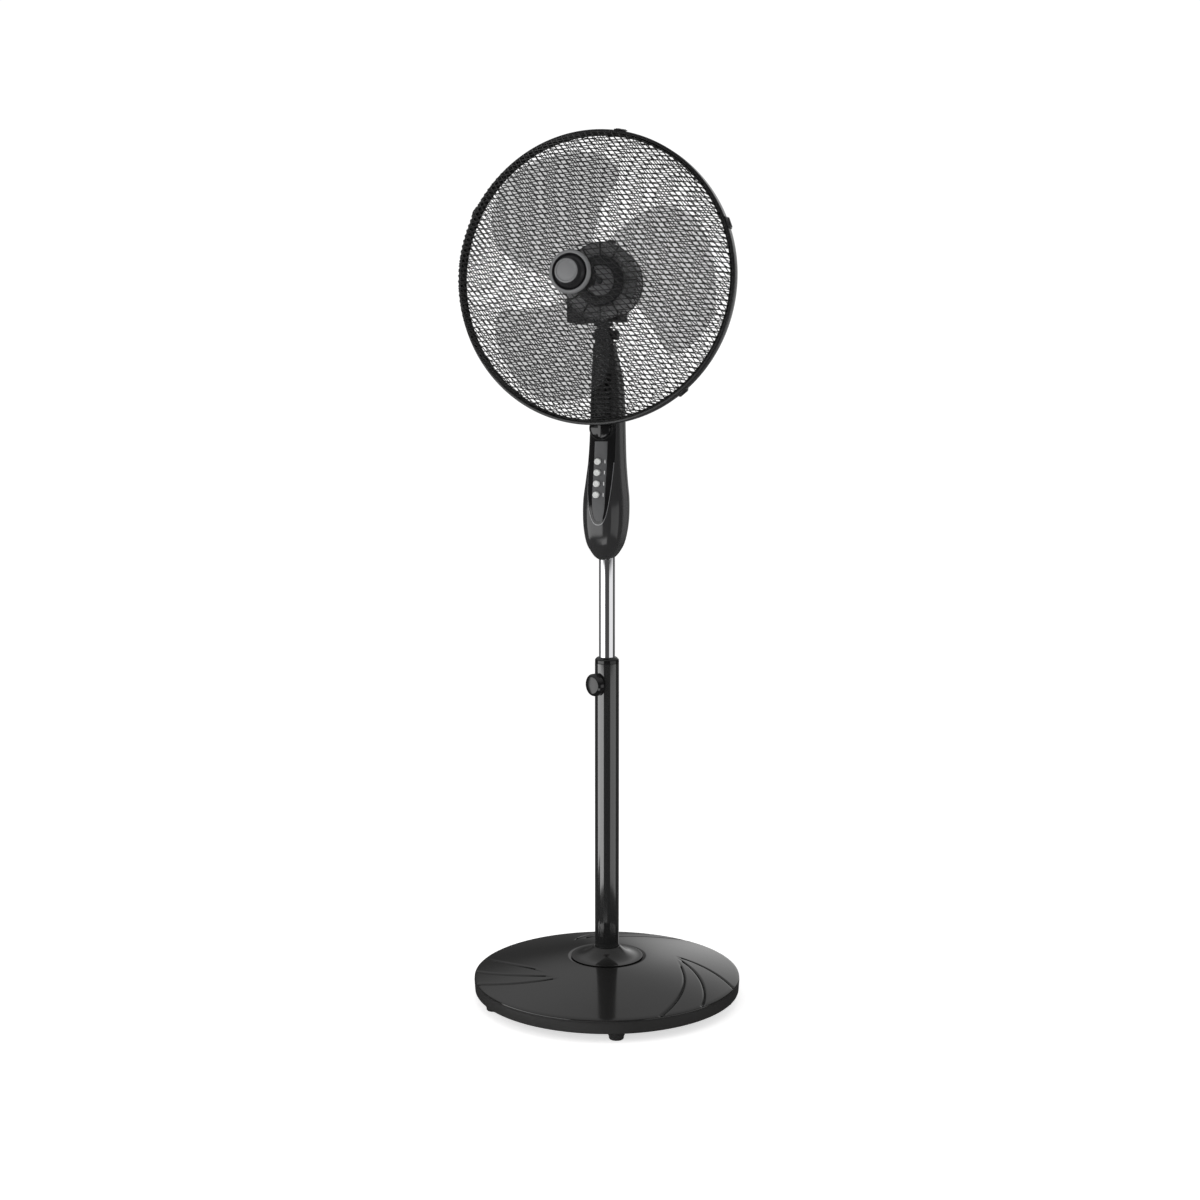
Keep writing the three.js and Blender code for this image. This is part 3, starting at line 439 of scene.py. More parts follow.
def object_from(name, shapes, sharp=35):
    """One mesh object from shapes; each shape is (points, faces) or (points, faces, material index)."""
    mesh = bpy.data.meshes.new(name)
    points, faces, indices = [], [], []
    for shape in shapes:
        start = len(points)
        points.extend(tuple(p * MM for p in v) for v in shape[0])
        faces.extend([k + start for k in face] for face in shape[1])
        indices.extend([shape[2] if len(shape) > 2 else 0] * len(shape[1]))
    mesh.from_pydata(points, [], faces)
    mesh.polygons.foreach_set("material_index", indices)
    work = bmesh.new()
    work.from_mesh(mesh)
    bmesh.ops.recalc_face_normals(work, faces=work.faces)
    work.to_mesh(mesh)
    work.free()
    piece = bpy.data.objects.new(name, mesh)
    bpy.context.scene.collection.objects.link(piece)
    smooth(piece, sharp)
    return piece


def smooth(piece, sharp=35):
    piece.data.shade_smooth()
    piece.data.set_sharp_from_angle(angle=radians(sharp))


def bake(piece):
    """Applies the piece's modifiers."""
    graph = bpy.context.evaluated_depsgraph_get()
    mesh = bpy.data.meshes.new_from_object(piece.evaluated_get(graph))
    piece.modifiers.clear()
    piece.data = mesh


def joined(shapes):
    """Several shapes as one."""
    points, faces = [], []
    for more_points, more_faces in shapes:
        faces.extend([k + len(points) for k in face] for face in more_faces)
        points.extend(more_points)
    return points, faces


def carve(piece, shapes, operation="DIFFERENCE"):
    """Boolean of the piece with each shape in turn."""
    for shape in shapes:
        tool = object_from("tool", [shape])
        modifier = piece.modifiers.new("cut", "BOOLEAN")
        modifier.operation = operation
        modifier.solver = "EXACT"
        modifier.object = tool
        bake(piece)
        bpy.data.objects.remove(tool)


def finish_piece(piece, nodes, slot, materials=None, beside=None):
    """Gives a piece its materials, the slot's finish unless others are given, hides the CAD nodes that it
    stands for,
    and puts it under a body: theirs, or the one of the node that it sits beside."""
    indices = [face.material_index for face in piece.data.polygons]
    piece.data.materials.clear()
    for material in materials or [finishes[slot]]:
        piece.data.materials.append(material)
    if materials and len(materials) > 1:
        piece.data.polygons.foreach_set("material_index", indices)
    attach(piece, body_of_node[beside or nodes[0]])
    if nodes:
        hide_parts(*nodes)
    return piece


def make(name, shapes, nodes, slot, materials=None, beside=None, sharp=35):
    return finish_piece(object_from(name, shapes, sharp), nodes, slot, materials, beside)


def carved(name, shape, cuts, nodes, slot, inside=None, sharp=32, **more):
    """A piece cut from one shape: what lies inside another shape is kept, then the cuts are taken out."""
    piece = object_from(name, [shape])
    if inside:
        carve(piece, [inside], "INTERSECT")
    carve(piece, cuts)
    smooth(piece, sharp)
    return finish_piece(piece, nodes, slot, **more)


def soften(node, slot, width):
    """A copy of a CAD node with its flat faces cleaned up and its edges rounded."""
    mesh = frame["nodes"][node].data.copy()
    work = bmesh.new()
    work.from_mesh(mesh)
    bmesh.ops.remove_doubles(work, verts=work.verts, dist=1e-6)
    bmesh.ops.dissolve_limit(work, angle_limit=radians(1), verts=work.verts, edges=work.edges)
    work.to_mesh(mesh)
    work.free()
    piece = bpy.data.objects.new(node + "_finished", mesh)
    bpy.context.scene.collection.objects.link(piece)
    modifier = piece.modifiers.new("edges", "BEVEL")
    modifier.width = width * MM
    modifier.segments = 3
    modifier.limit_method = "ANGLE"
    modifier.angle_limit = radians(40)
    bake(piece)
    smooth(piece, 50)
    return finish_piece(piece, [node], slot)


def smooth_curve(keys, position):
    """Catmull-Rom value between rows [position, value, ...]; returns the list of values."""
    last = len(keys) - 1
    i = max(k for k in range(last) if keys[k][0] <= position or k == 0)
    span = keys[i + 1][0] - keys[i][0]
    t = (position - keys[i][0]) / span
    values = []
    for column in range(1, len(keys[0])):
        here, there = keys[i][column], keys[i + 1][column]

        def slope(k):
            if k in (0, last):
                other = 1 if k == 0 else last - 1
                return (keys[other][column] - keys[k][column]) / (keys[other][0] - keys[k][0])
            return (keys[k + 1][column] - keys[k - 1][column]) / (keys[k + 1][0] - keys[k - 1][0])

        m0, m1 = slope(i) * span, slope(i + 1) * span
        values.append(
            (2 * t**3 - 3 * t**2 + 1) * here + (t**3 - 2 * t**2 + t) * m0
            + (3 * t**2 - 2 * t**3) * there + (t**3 - t**2) * m1)
    return values


# ---------- base

# Each group of grooves in the dome: where it starts, then each groove's turn in
# degrees by the time that it reaches the rim, and how early it turns.
GROOVE_START = 110.0
GROOVE_GROUPS = [
    (-20.6, [(-69.4, 0.35), (-52.0, 0.59), (-35.7, 0.86)]),
    (117.0, [(-77.0, 0.55), (-56.0, 0.74), (-30.0, 1.0)]),
    (228.0, [(-69.4, 0.35), (-52.0, 0.59), (-35.7, 0.86)]),
]
GROOVE_DEPTH = 2.9
GROOVE_WIDTH = 1.2
GROOVE_GROUP_SPAN = 100.0


def on_base(radius, degrees, height):
    """A point at a radius and an angle from -Y towards +X."""
    angle = radians(degrees)
    return radius * sin(angle), -radius * cos(angle), height


def dome_height(radius):
    share = max(radius - FLANGE_RADIUS, 0) / (BASE_RADIUS - 3 - FLANGE_RADIUS)
    return DOME_TOP - (DOME_TOP - RIM_CREASE - 1.6) * share ** 1.3


def groove_depth(radius, degrees):
    """How far the swept grooves sink the dome."""
    if radius <= GROOVE_START:
        return 0.0
    share = (radius - GROOVE_START) / (BASE_RADIUS - GROOVE_START)
    fade = min(1.0, share / 0.35)
    sink = 0.0
    for start, grooves in GROOVE_GROUPS:
        offset = (degrees - start + 180) % 360 - 180
        for turn, power in grooves:
            centre = turn * share ** power
            slant = radius * radians(turn) * power * share ** (power - 1) / (BASE_RADIUS - GROOVE_START)
            across = radius * radians(offset - centre) / hypot(1, slant)
            width = GROOVE_WIDTH * (1.0 if across > 0 else 1.5)
            sink = max(sink, GROOVE_DEPTH * fade * exp(-(across / width) ** 2))
    return sink


def painted_groove_shadows():
    """Thin dark strips that lie in the bottoms of the grooves: painted shadow along the grooves."""
    strips = []
    steps = 40
    for start, grooves in GROOVE_GROUPS:
        for turn, power in grooves:
            path = []
            for k in range(steps + 1):
                share = 0.10 + 0.885 * k / steps
                radius = GROOVE_START + (BASE_RADIUS - GROOVE_START) * share
                depth = GROOVE_DEPTH * min(1.0, share / 0.35)
                height = dome_height(min(radius, BASE_RADIUS - 5)) - depth + 1.0
                path.append(on_base(radius, start + turn * share ** power, height))
            strips.append(wire(path, 0.85, 6))
    return strips


def dome_angles():
    """Column angles for the dome: close together across the grooves, wider elsewhere."""
    angles = []
    degrees = 0.0
    while degrees < 360:
        angles.append(degrees)
        busy = any(
            -GROOVE_GROUP_SPAN < (degrees - start + 180) % 360 - 180 < 6 for start, _ in GROOVE_GROUPS)
        degrees += 0.36 if busy else 2.0
    return angles


def base_cover():
    angles = dome_angles()
    radii = [24 + (FLANGE_RADIUS - 24) * k / 4 for k in range(5)]
    outer_rows = 100
    radii += [FLANGE_RADIUS + (BASE_RADIUS - 5 - FLANGE_RADIUS) * (k / outer_rows) ** 0.85
              for k in range(1, outer_rows + 1)]
    edge_top = dome_height(BASE_RADIUS - 5)
    edge = [(5, edge_top), (0.6, RIM_CREASE + 0.6), (0.2, RIM_CREASE - 1.6), (1.0, RIM_CREASE - 2.6),
            (0.1, RIM_CREASE - 4.2), (1.2, SKIRT_BOTTOM), (3.6, SKIRT_BOTTOM)]
    skirt = rounded([(BASE_RADIUS - inward, height) for inward, height in edge], 1.2, 4)[1:]
    inside = [(BASE_RADIUS - 3.8, RIM_CREASE - 4)]
    inside += [(r - 2, dome_height(r) - 3.6) for r in (BASE_RADIUS - 8, 180, 150, 120, 90, 60)]
    inside += [(24, DOME_TOP - 3.0)]
    rings = []
    for radius in radii:
        level = dome_height(radius) - 1.3 * exp(-(radius - FLANGE_RADIUS) ** 2)
        rings.append([on_base(radius, d, level - groove_depth(radius, d)) for d in angles])
    for index, (radius, height) in enumerate(skirt):
        sunk = max(0.0, 0.7 - index * 0.25)
        rings.append([on_base(radius, d, height - sunk * groove_depth(BASE_RADIUS - 2, d)) for d in angles])
    rings += [[on_base(radius, d, height) for d in angles] for radius, height in inside]
    points, faces = loft(rings, capped=False)
    count = len(angles)
    last = (len(rings) - 1) * count
    faces += [[last + k, last + (k + 1) % count, (k + 1) % count, k] for k in range(count)]
    return points, faces


def build_base():
    shell = object_from("base_shell", [base_cover()], 60)
    for face in shell.data.polygons:
        if face.center.z < (RIM_CREASE - 1.6) * MM:
            face.material_index = 1
    finish_piece(shell, ["base_cover"], "base_gloss", [finishes["base_gloss"], skirt_satin])
    # dark strips in the groove bottoms: painted shadow
    make("painted_groove_shadow", painted_groove_shadows(), [], "rubber", beside="base_cover")
    bottom = low("base_collar").z
    top = bottom + 16.5
    bore = TUBE_RADIUS + 0.3
    flare = [(FLANGE_RADIUS - 1.2, bottom + 0.35)]
    flare_steps = 18
    for k in range(flare_steps + 1):
        t = k / flare_steps
        radius = FLANGE_RADIUS - 2 - (FLANGE_RADIUS - 2 - 21.6) * t
        flare.append((radius, bottom + 0.6 + (top - bottom - 1.6) * (t ** 2.5)))
    outline = [(bore, bottom + 0.8), (FLANGE_RADIUS - 2, bottom)] + flare + [(21.2, top - 0.2), (bore, top)]
    make("column_collar", [turned(outline, 1.0, 3, 128, closed=True)],
         ["base_collar"], "base_gloss", sharp=50)
    for k in range(1, 6):
        node = f"foot_{k}"
        centre = centre_of(node)
        top = high(node).z
        outline = [(0, 0), (10, 0), (11.0, 1.0), (11.6, 5.6), (12.5, 6.4), (12.5, top), (0, top)]
        shape = turned(outline, 0.7, 4, 64)
        make(f"rubber_foot_{k}", [moved(shape, Matrix.Translation((centre.x, centre.y, 0)))], [node],
             "rubber")


# ---------- column

def lock_matrix():
    knob = centre_of("lock_knob")
    direction = Vector((knob.x, knob.y, 0)).normalized()
    turn = direction.to_track_quat("Z", "Y").to_matrix().to_4x4()
    return Matrix.Translation((0, 0, knob.z)) @ turn


def build_column():
    bottom = low("outer_tube").z
    knob_place = lock_matrix()
    hole = moved(rod(4.2, 8, 24, 0, 48), knob_place)
    carved("tall_tube", pipe(TUBE_RADIUS, TUBE_RADIUS - 1.4, bottom, TUBE_TOP, 0.15, 128), [hole],
           ["outer_tube"], "tube_paint", sharp=30)
    bore = INNER_RADIUS + 0.4
    cap = TUBE_RADIUS - 0.1
    plug = TUBE_RADIUS - 1.7
    outline = [(bore, 450), (plug, 450), (plug, TUBE_TOP + 0.2), (cap, TUBE_TOP + 0.2),
               (cap, BUSH_TOP - 3.6), (cap - 3.6, BUSH_TOP), (bore, BUSH_TOP)]
    carved("mouth_cap", turned(outline, 3.4, 7, 128, closed=True), [hole], ["top_bush"], "black_gloss",
           sharp=40)
    start = INNER_RADIUS + 0.3
    radius = 17.5
    back = TUBE_RADIUS + 1
    face = TUBE_RADIUS + 14
    crown = [(radius * k / 10, face - 1.3 * (k / 10) ** 3) for k in range(8, -1, -1)]
    outline = [(0, start), (3.5, start), (3.5, back), (radius - 2.4, back), (radius, back + 2.6),
               (radius, face - 3.6)] + crown
    shape = moved(turned(outline, 2.4, 6, 96), knob_place)
    make("height_knob", [shape], ["lock_knob"], "black_gloss", sharp=50)
    inner_low, inner_high = low("inner_tube").z, high("inner_tube").z
    make("chrome_tube", [pipe(INNER_RADIUS, INNER_RADIUS - 1.4, inner_low, inner_high, 0.3, 128)],
         ["inner_tube"], "chrome")


# ---------- housing

# [height above the housing's bottom, half width, front, back, corner radius]
HOUSING_KEYS = [
    [0, 8, 20, 6, 6],
    [4, 13, 27, 12, 10],
    [11, 18.5, 32, 18, 13],
    [24, 25.3, 39, 22, 15],
    [43, 29.5, 43, 26, 16],
    [65, 31.3, 44.5, 28.5, 15],
    [93, 31, 43.5, 29.5, 14],
    [120, 28, 39.5, 29.5, 12],
    [153, 25, 33.5, 29.5, 10],
    [193, 23.4, 29.5, 30, 9],
    [238, 22.2, 28.6, 30, 9],
    [280, 20, 29, 25, 8],
    [308, 17.5, 30, 12, 8],
    [329, 16, 31, 2, 8],
]
HOUSING_TOP = HOUSING_KEYS[-1][0]
CORNER_STEPS = 12
SIDE_STEPS = 6
HOUSING_WALL = 2.5
SEAM_HALF = 0.9
FRONT_ROUNDNESS = 0.76
FRONT_CROWN = 1.3       # how far the front falls back from its middle to its sides
FRONT_LIFT = 0.6


def front_corner(half, corner):
    """Corner radius of the front, which is almost a half circle."""
    return max(corner, FRONT_ROUNDNESS * half)


def housing_size(height):
    return smooth_curve(HOUSING_KEYS, height)


def housing_ring(height, inset=0.0):
    """One rounded rectangle of the housing; its front is at -Y and bulges a little."""
    half, front, back, corner = housing_size(height)
    side = half - inset
    tight = max(corner - inset, 1.0)
    wide = max(front_corner(half, corner) - inset, 1.0)
    ring = []
    rear_y = back - inset - tight
    front_y = -front + inset + wide
    corners = [(side - tight, rear_y, 0, tight), (-side + tight, rear_y, 90, tight),
               (-side + wide, front_y, 180, wide), (side - wide, front_y, 270, wide)]
    for index, (x, y, start, radius) in enumerate(corners):
        for step in range(CORNER_STEPS + 1):
            angle = radians(start + 90 * step / CORNER_STEPS)
            ring.append(Vector((x + radius * cos(angle), y + radius * sin(angle), 0)))
        following = corners[(index + 1) % 4]
        reach = following[3]
        angle = radians(start + 90)
        target = Vector((following[0] + reach * cos(angle), following[1] + reach * sin(angle), 0))
        origin = ring[-1]
        for step in range(1, SIDE_STEPS):
            ring.append(origin.lerp(target, step / SIDE_STEPS))
    for point in ring:
        if point.y < 0:
            point.y += FRONT_CROWN * min(1.0, abs(point.x) / side) ** 2 - FRONT_LIFT
        point.z = HOUSING_BOTTOM + height
    return ring


def housing_solid(inset=0.0, bottom=0.0, top=HOUSING_TOP):
    heights = [bottom, bottom + 0.6, bottom + 1.6, bottom + 3]
    height = bottom + 5
    while height < top - 2:
        heights.append(height)
        height += 3
    heights.append(top)
    return loft([housing_ring(h, inset) for h in heights])


def front_depth(height, x=0.0):
    """How far forward the housing's surface stands at a height and a place across."""
    half, front, _, corner = housing_size(height)
    radius = front_corner(half, corner)
    flat = half - radius
    depth = front
    if abs(x) > flat:
        depth = front - radius + sqrt(max(radius ** 2 - (abs(x) - flat) ** 2, 0))
    return depth - FRONT_CROWN * min(1.0, abs(x) / half) ** 2 + FRONT_LIFT


TONGUE_POWER = 0.78


def tongue(half_width, tip, shoulder, top, margin=0.0):
    """Outline of the tongue: a flat top, and a rounded point below the shoulder."""
    steps = 64
    outline = [(half_width + margin, HOUSING_BOTTOM + top + margin),
               (-half_width - margin, HOUSING_BOTTOM + top + margin)]
    for k in range(steps + 1):
        angle = pi + pi * k / steps
        across = copysign(abs(cos(angle)) ** TONGUE_POWER, cos(angle))
        down = abs(sin(angle)) ** TONGUE_POWER
        outline.append((
            (half_width + margin) * across, HOUSING_BOTTOM + shoulder - (shoulder - tip + margin) * down))
    return outline


FRONT_REACH = (-60, -18)


def panel_cut(margin):
    return prism(tongue(20, 55, 165, 213, margin), *FRONT_REACH)


def strip_cut(margin):
    return prism(tongue(10.4, 60, 98, 182, margin), *FRONT_REACH)


# The bars across the neck: height of the first one, number and step.
BAR_START = 219
BAR_COUNT = 9
BAR_STEP = 7.5


def rib_cut(margin):
    half = 14 + margin
    top = BAR_START + BAR_COUNT * BAR_STEP
    foot = HOUSING_BOTTOM + BAR_START - 4 - margin
    outline = [(-half, foot), (half, foot)]
    outline += [(half * cos(pi * k / 24),
                 HOUSING_BOTTOM + top - 6 + (6 + margin) * sin(pi * k / 24)) for k in range(25)]
    return prism(outline, *FRONT_REACH)


def bar_y(radius, y0, y1, x, z):
    place = Matrix.Translation((x, 0, z)) @ Matrix.Rotation(-pi / 2, 4, "X")
    return moved(rod(radius, y0, y1, 0.0, 48), place)


def bar_z(radius, z0, z1, x, y, segments=48):
    return moved(rod(radius, z0, z1, 0.0, segments), Matrix.Translation((x, y, 0)))


def button_places():
    places = []
    for k in range(4):
        node = f"speed_button_{k}"
        centre = centre_of(node)
        places.append((node, centre.x, centre.z, low(node).y))
    return places


def build_housing():
    low_end, high_end = HOUSING_BOTTOM - 20, HOUSING_BOTTOM + 400
    inner = housing_solid(HOUSING_WALL, 11, HOUSING_TOP - 3)
    bottom_hole = bar_z(INNER_RADIUS + 0.3, HOUSING_BOTTOM - 5, HOUSING_BOTTOM + 30, 0, 0, segments=96)
    fork = box_shape((-12.8, PIVOT_Y - 9.3, HOUSING_BOTTOM + 289.7), (12.8, PIVOT_Y + 9.3, TILT_Z))
    behind = box_shape((-80, SEAM_Y - SEAM_HALF, low_end), (80, 120, high_end))
    before = box_shape((-80, -120, low_end), (80, SEAM_Y + SEAM_HALF, high_end))
    carved("housing_face", housing_solid(), [inner, behind, bottom_hole, panel_cut(0.5), rib_cut(0.3), fork],
           ["housing_front"], "housing_gloss")

    screws = [bar_y(3.6, 14, 60, 0, HOUSING_BOTTOM + z) for z in (110, 255)]
    gland = bar_y(5.6, 10, 60, 0, HOUSING_BOTTOM + 36)
    vents = [box_shape((-9, 24, HOUSING_BOTTOM + z - 0.9), (9, 60, HOUSING_BOTTOM + z + 0.9))
             for z in range(150, 215, 6)]
    carved("housing_rear", housing_solid(), [inner, before, bottom_hole, fork, gland] + screws + vents,
           ["housing_back"], "housing_gloss")

    seam = box_shape((-80, SEAM_Y - 2.4, low_end), (80, SEAM_Y + 2.4, high_end))
    carved("seam_lip", housing_solid(1.5, 1.5, HOUSING_TOP - 1),
           [housing_solid(3.2, 6, HOUSING_TOP - 4), bottom_hole, fork], [], "black_gloss", inside=seam,
           beside="housing_front")

    timer_hole = bar_y(5.2, *FRONT_REACH, 0, TIMER_Z)
    carved("tongue_panel", housing_solid(0.35), [inner, strip_cut(0.25), timer_hole],
           ["control_panel"], "black_gloss", inside=panel_cut(0.0))

    wide = prism(tongue(19.7, 56.0, 169, 230), *FRONT_REACH)
    above = box_shape((-40, -80, HOUSING_BOTTOM + 150), (40, 10, HOUSING_BOTTOM + 300))
    carved("tongue_rim", housing_solid(-0.25), [wide, housing_solid(1.6), above], [], "badge_grey",
           inside=panel_cut(0.45), materials=[rim_light], beside="control_panel")

    holes = [bar_y(5.3, *FRONT_REACH, x, z) for _, x, z, _ in button_places()]
    carved("button_strip", housing_solid(0.9), [inner] + holes, ["panel_strip"], "strip_grey",
           inside=strip_cut(0.0))

    marks = []
    for _, x, z, _ in button_places():
        depth = front_depth(z - HOUSING_BOTTOM, 8.0)
        marks.append(box_shape((7.0, -depth + 0.4, z - 2.6), (8.2, -depth + 2.0, z + 2.6)))
    make("index_marks", marks, [], "button_grey", [index_light], beside="panel_strip")
    build_controls()
    build_neck()


def build_controls():
    for node, x, z, face in button_places():
        cap = [(0, face + 0.5), (2.4, face + 0.35), (3.4, face), (4.6, face + 0.35), (5, face + 1.2),
               (5, face + 9.5), (3, face + 9.5), (3, -21), (0, -21)]
        shape = moved(turned(cap, 0.8, 5, 64),
                      Matrix.Translation((x, 0, z)) @ Matrix.Rotation(-pi / 2, 4, "X"))
        make(node + "_cap", [shape], [node], "button_grey", sharp=50)

    front = low("timer_knob").y
    back = high("timer_knob").y
    turn = Matrix.Translation((0, 0, TIMER_Z)) @ Matrix.Rotation(-pi / 2, 4, "X")
    face_curve = 45.0
    skirt = [(r, front + 2.0 + r ** 2 / (2 * face_curve)) for r in (0, 2.5, 5, 7.5, 10, 12.5, 14.6)]
    skirt += [(16, front + 5.8), (16, back - 0.6), (15.4, back), (0, back)]
    grip = []
    for k in range(13):
        t = k / 12
        half = 2.7 * (1 - 0.25 * abs(2 * t - 1) ** 3)
        z = -13 + 26 * t
        grip.append([(x * half, front + (0.0 if y else 5.0) + 0.8 * abs(2 * t - 1) ** 4, TIMER_Z + z)
                     for x, y in ((-1.0, 0), (-0.8, 1), (-0.4, 1), (0.4, 1), (0.8, 1), (1.0, 0))])
    ridges = rods_around(turn, 36, 16.0, 0.45, back - 5.6, back - 0.6, 0.2, 10)
    face = moved(turned(skirt, 1.4, 5, 96), turn)
    make("timer_dial", [face, loft(grip)] + ridges, ["timer_knob"], "black_gloss", sharp=45)
    bezel = [(16.6, back + 9), (16.6, back - 2.0), (17.6, back - 2.4), (18.6, back - 1.8), (18.8, back + 9)]
    ring = moved(turned(bezel, 0.6, 4, 96, closed=True), turn)
    make("timer_bezel", [ring], [], "black_gloss", beside="control_panel")


def on_front(x, z, lift):
    """A point at a place across and a height, the lift in front of the housing's surface."""
    return Vector((x, -front_depth(z - HOUSING_BOTTOM, x) - lift, z))


def curved_bar(half, z):
    """A rounded bar across the neck that follows its front surface."""
    steps = 20
    angles = [tau * i / 10 for i in range(10)]
    rings = []
    for k in range(steps + 1):
        point = on_front(-half + 2 * half * k / steps, z, -0.4)
        thick = 1.7 if 0 < k < steps else 1.7 * 0.6
        width = 1.5 if 0 < k < steps else 1.5 * 0.6
        rings.append([point + Vector((0, thick * cos(a), width * sin(a))) for a in angles])
    return loft(rings)


def build_neck():
    carved("neck_field", housing_solid(1.2), [housing_solid(HOUSING_WALL, 11, HOUSING_TOP - 3)],
           ["neck_ribs"], "black_gloss", inside=rib_cut(0.0))
    ribs = [curved_bar(12.6, HOUSING_BOTTOM + BAR_START + BAR_STEP * k) for k in range(BAR_COUNT)]
    # the bars take the lighter strip grey: painted highlight for the light edges of the ribs
    make("neck_bars", ribs, [], "strip_grey", beside="neck_ribs")
    bottom, top = HOUSING_BOTTOM + 292, HOUSING_BOTTOM + 323
    flutes = [wire([on_front(x, bottom + (top - bottom) * k / 8, -0.2) for k in range(9)], 0.8, 8)
              for x in (-12, -8, -4, 0, 4, 8, 12)]
    make("neck_flutes", flutes, [], "housing_gloss", beside="housing_front")


# ---------- head: pivots

def build_pivots():
    for node, slot, width in (("neck_fork", "black_plastic", 0.8), ("tilt_bracket", "black_plastic", 0.6),
                              ("crank_link", "steel", 0.3), ("gearbox", "black_plastic", 1.5),
                              ("head_bracket", "black_plastic", 1.6)):
        soften(node, slot, width)
    outer = high("tilt_knob").x
    inner = low("tilt_knob").x
    turn = Matrix.Translation((0, PIVOT_Y, TILT_Z)) @ Matrix.Rotation(pi / 2, 4, "Y")
    outline = [(0, inner), (7, inner), (7, inner + 4), (7.6, inner + 5), (7.6, outer - 1.4), (6.4, outer),
               (0, outer - 0.4)]
    lobes = rods_around(turn, 12, 7.1, 1.0, inner + 4.6, outer - 1.0, 0.4)
    make("tilt_grip", [moved(turned(outline, 0.8, 4, 64), turn)] + lobes, ["tilt_knob"],
         "black_plastic")


# ---------- head: motor

def build_motor():
    front = -low("motor_front").y - 8
    seam = -high("motor_front").y
    radius = high("motor_front").x
    bell = [(5, front), (5, front + 8), (23, front + 8), (23, front), (radius - 9, front),
            (radius - 6, front - 0.6), (radius, front - 6), (radius, seam + 0.3), (radius - 2.5, seam + 0.3),
            (radius - 2.5, front - 7), (radius - 5, front - 3), (5, front - 3)]
    fin = box_shape((38, -0.7, front - 0.4), (48.5, 0.7, front + 1.6))
    fins = [along_fan(fin, tau * k / 36) for k in range(36)]
    # the whole bell, fins too, takes the lighter grey: painted light
    make("motor_bell", [along_fan(turned(bell, 1.2, 4, 128, closed=True))] + fins,
         ["motor_front"], "black_plastic", [motor_painted_light])

    back = -high("motor_cover").y
    knob = centre_of("osc_knob")
    outline = [(radius - 2.5, seam), (radius, seam), (radius, -10), (radius - 1.4, -18), (46.5, -28),
               (36.5, -42), (23.5, -52.5), (16, back), (8, back), (8, -51), (22.5, -50), (34.5, -40),
               (43.5, -27), (radius - 2.5, -10)]
    slots = []
    for k in range(28):
        angle = tau * (k + 0.5) / 28
        under_knob = abs((angle - pi / 2 + pi) % tau - pi) < 0.30
        if not under_knob:
            slots.append(along_fan(box_shape((29, -1.3, -60), (42, 1.3, -30)), angle))
    knob_hole = bar_z(4.2, HEAD_Z + 10, HEAD_Z + 70, knob.x, knob.y)
    carved("motor_shell", along_fan(turned(outline, 3, 5, 128, closed=True)), [joined(slots), knob_hole],
           ["motor_cover"], "black_plastic")

    top = high("osc_knob").z
    outline = [(0, HEAD_Z + 38), (3, HEAD_Z + 38), (3, top - 11), (6, top - 11), (6.4, top - 5), (8, top - 4),
               (8, top - 1), (6.6, top), (0, top - 0.5)]
    make("swing_knob", [moved(turned(outline, 0.8, 4, 64), Matrix.Translation((knob.x, knob.y, 0)))],
         ["osc_knob"], "black_gloss")


# ---------- head: rotor

BLADE_COUNT = 3
BLADE_FIRST_ANGLE = -4.0
BLADE_HALF_SPAN = 43.0
BLADE_SWEEP = 20.0
BLADE_TIP = 192.0
BLADE_SHOULDER = 142.0
BLADE_RIDGE = 105.0
HUB_RADIUS = 53.0
HUB_BACK = 54.0
HUB_FRONT = 98.0


def blade(first_angle):
    """One curved petal with a bead along its edge and a raised arc across it."""
    rows, columns = 46, 44
    middle, depth, camber, half_thick = 77.0, 20.0, 5.0, 0.9
    front_side, back_side = [], []
    for i in range(rows + 1):
        share = sin(0.5 * pi * i / rows)
        radius = HUB_RADIUS - 1.6 + (BLADE_TIP - HUB_RADIUS + 1.6) * share
        past = max(radius - BLADE_SHOULDER, 0) / (BLADE_TIP + 2 - BLADE_SHOULDER)
        half_span = radians(BLADE_HALF_SPAN * sqrt(1 - past ** 2))
        sweep = radians(first_angle + BLADE_SWEEP * (1 - min(1, share * 1.25)))
        for j in range(columns + 1):
            across = -cos(pi * j / columns)
            angle = sweep + half_span * across
            forward = middle + depth * across * (0.75 + 0.25 * share) + camber * (1 - across ** 2)
            edge = min((1 - abs(across)) * half_span * radius, (BLADE_TIP - radius) * 1.2)
            thick = half_thick * min(1.0, 0.25 + edge / 1.5) + 0.7 * exp(-((edge - 2.2) / 1.6) ** 2)
            ridge = BLADE_RIDGE + 8 * across
            arcs = 1.4 * exp(-((radius - ridge) / 2.6) ** 2) if abs(across) < 0.82 else 0.0
            place = (radius * cos(angle), radius * sin(angle))
            front_side.append((*place, forward + thick + arcs))
            back_side.append((*place, forward - thick))
    width = columns + 1
    count = len(front_side)
    faces = []
    for i in range(rows):
        for j in range(columns):
            a = i * width + j
            faces.append([a, a + width, a + width + 1, a + 1])
            faces.append([count + a, count + a + 1, count + a + width + 1, count + a + width])
    border = [i * width for i in range(rows + 1)] + [rows * width + j for j in range(1, width)]
    border += [i * width + columns for i in range(rows - 1, -1, -1)] + [j for j in range(columns - 1, 0, -1)]
    for a, b in zip(border, border[1:] + border[:1]):
        faces.append([a, count + a, count + b, b])
    return front_side + back_side, faces


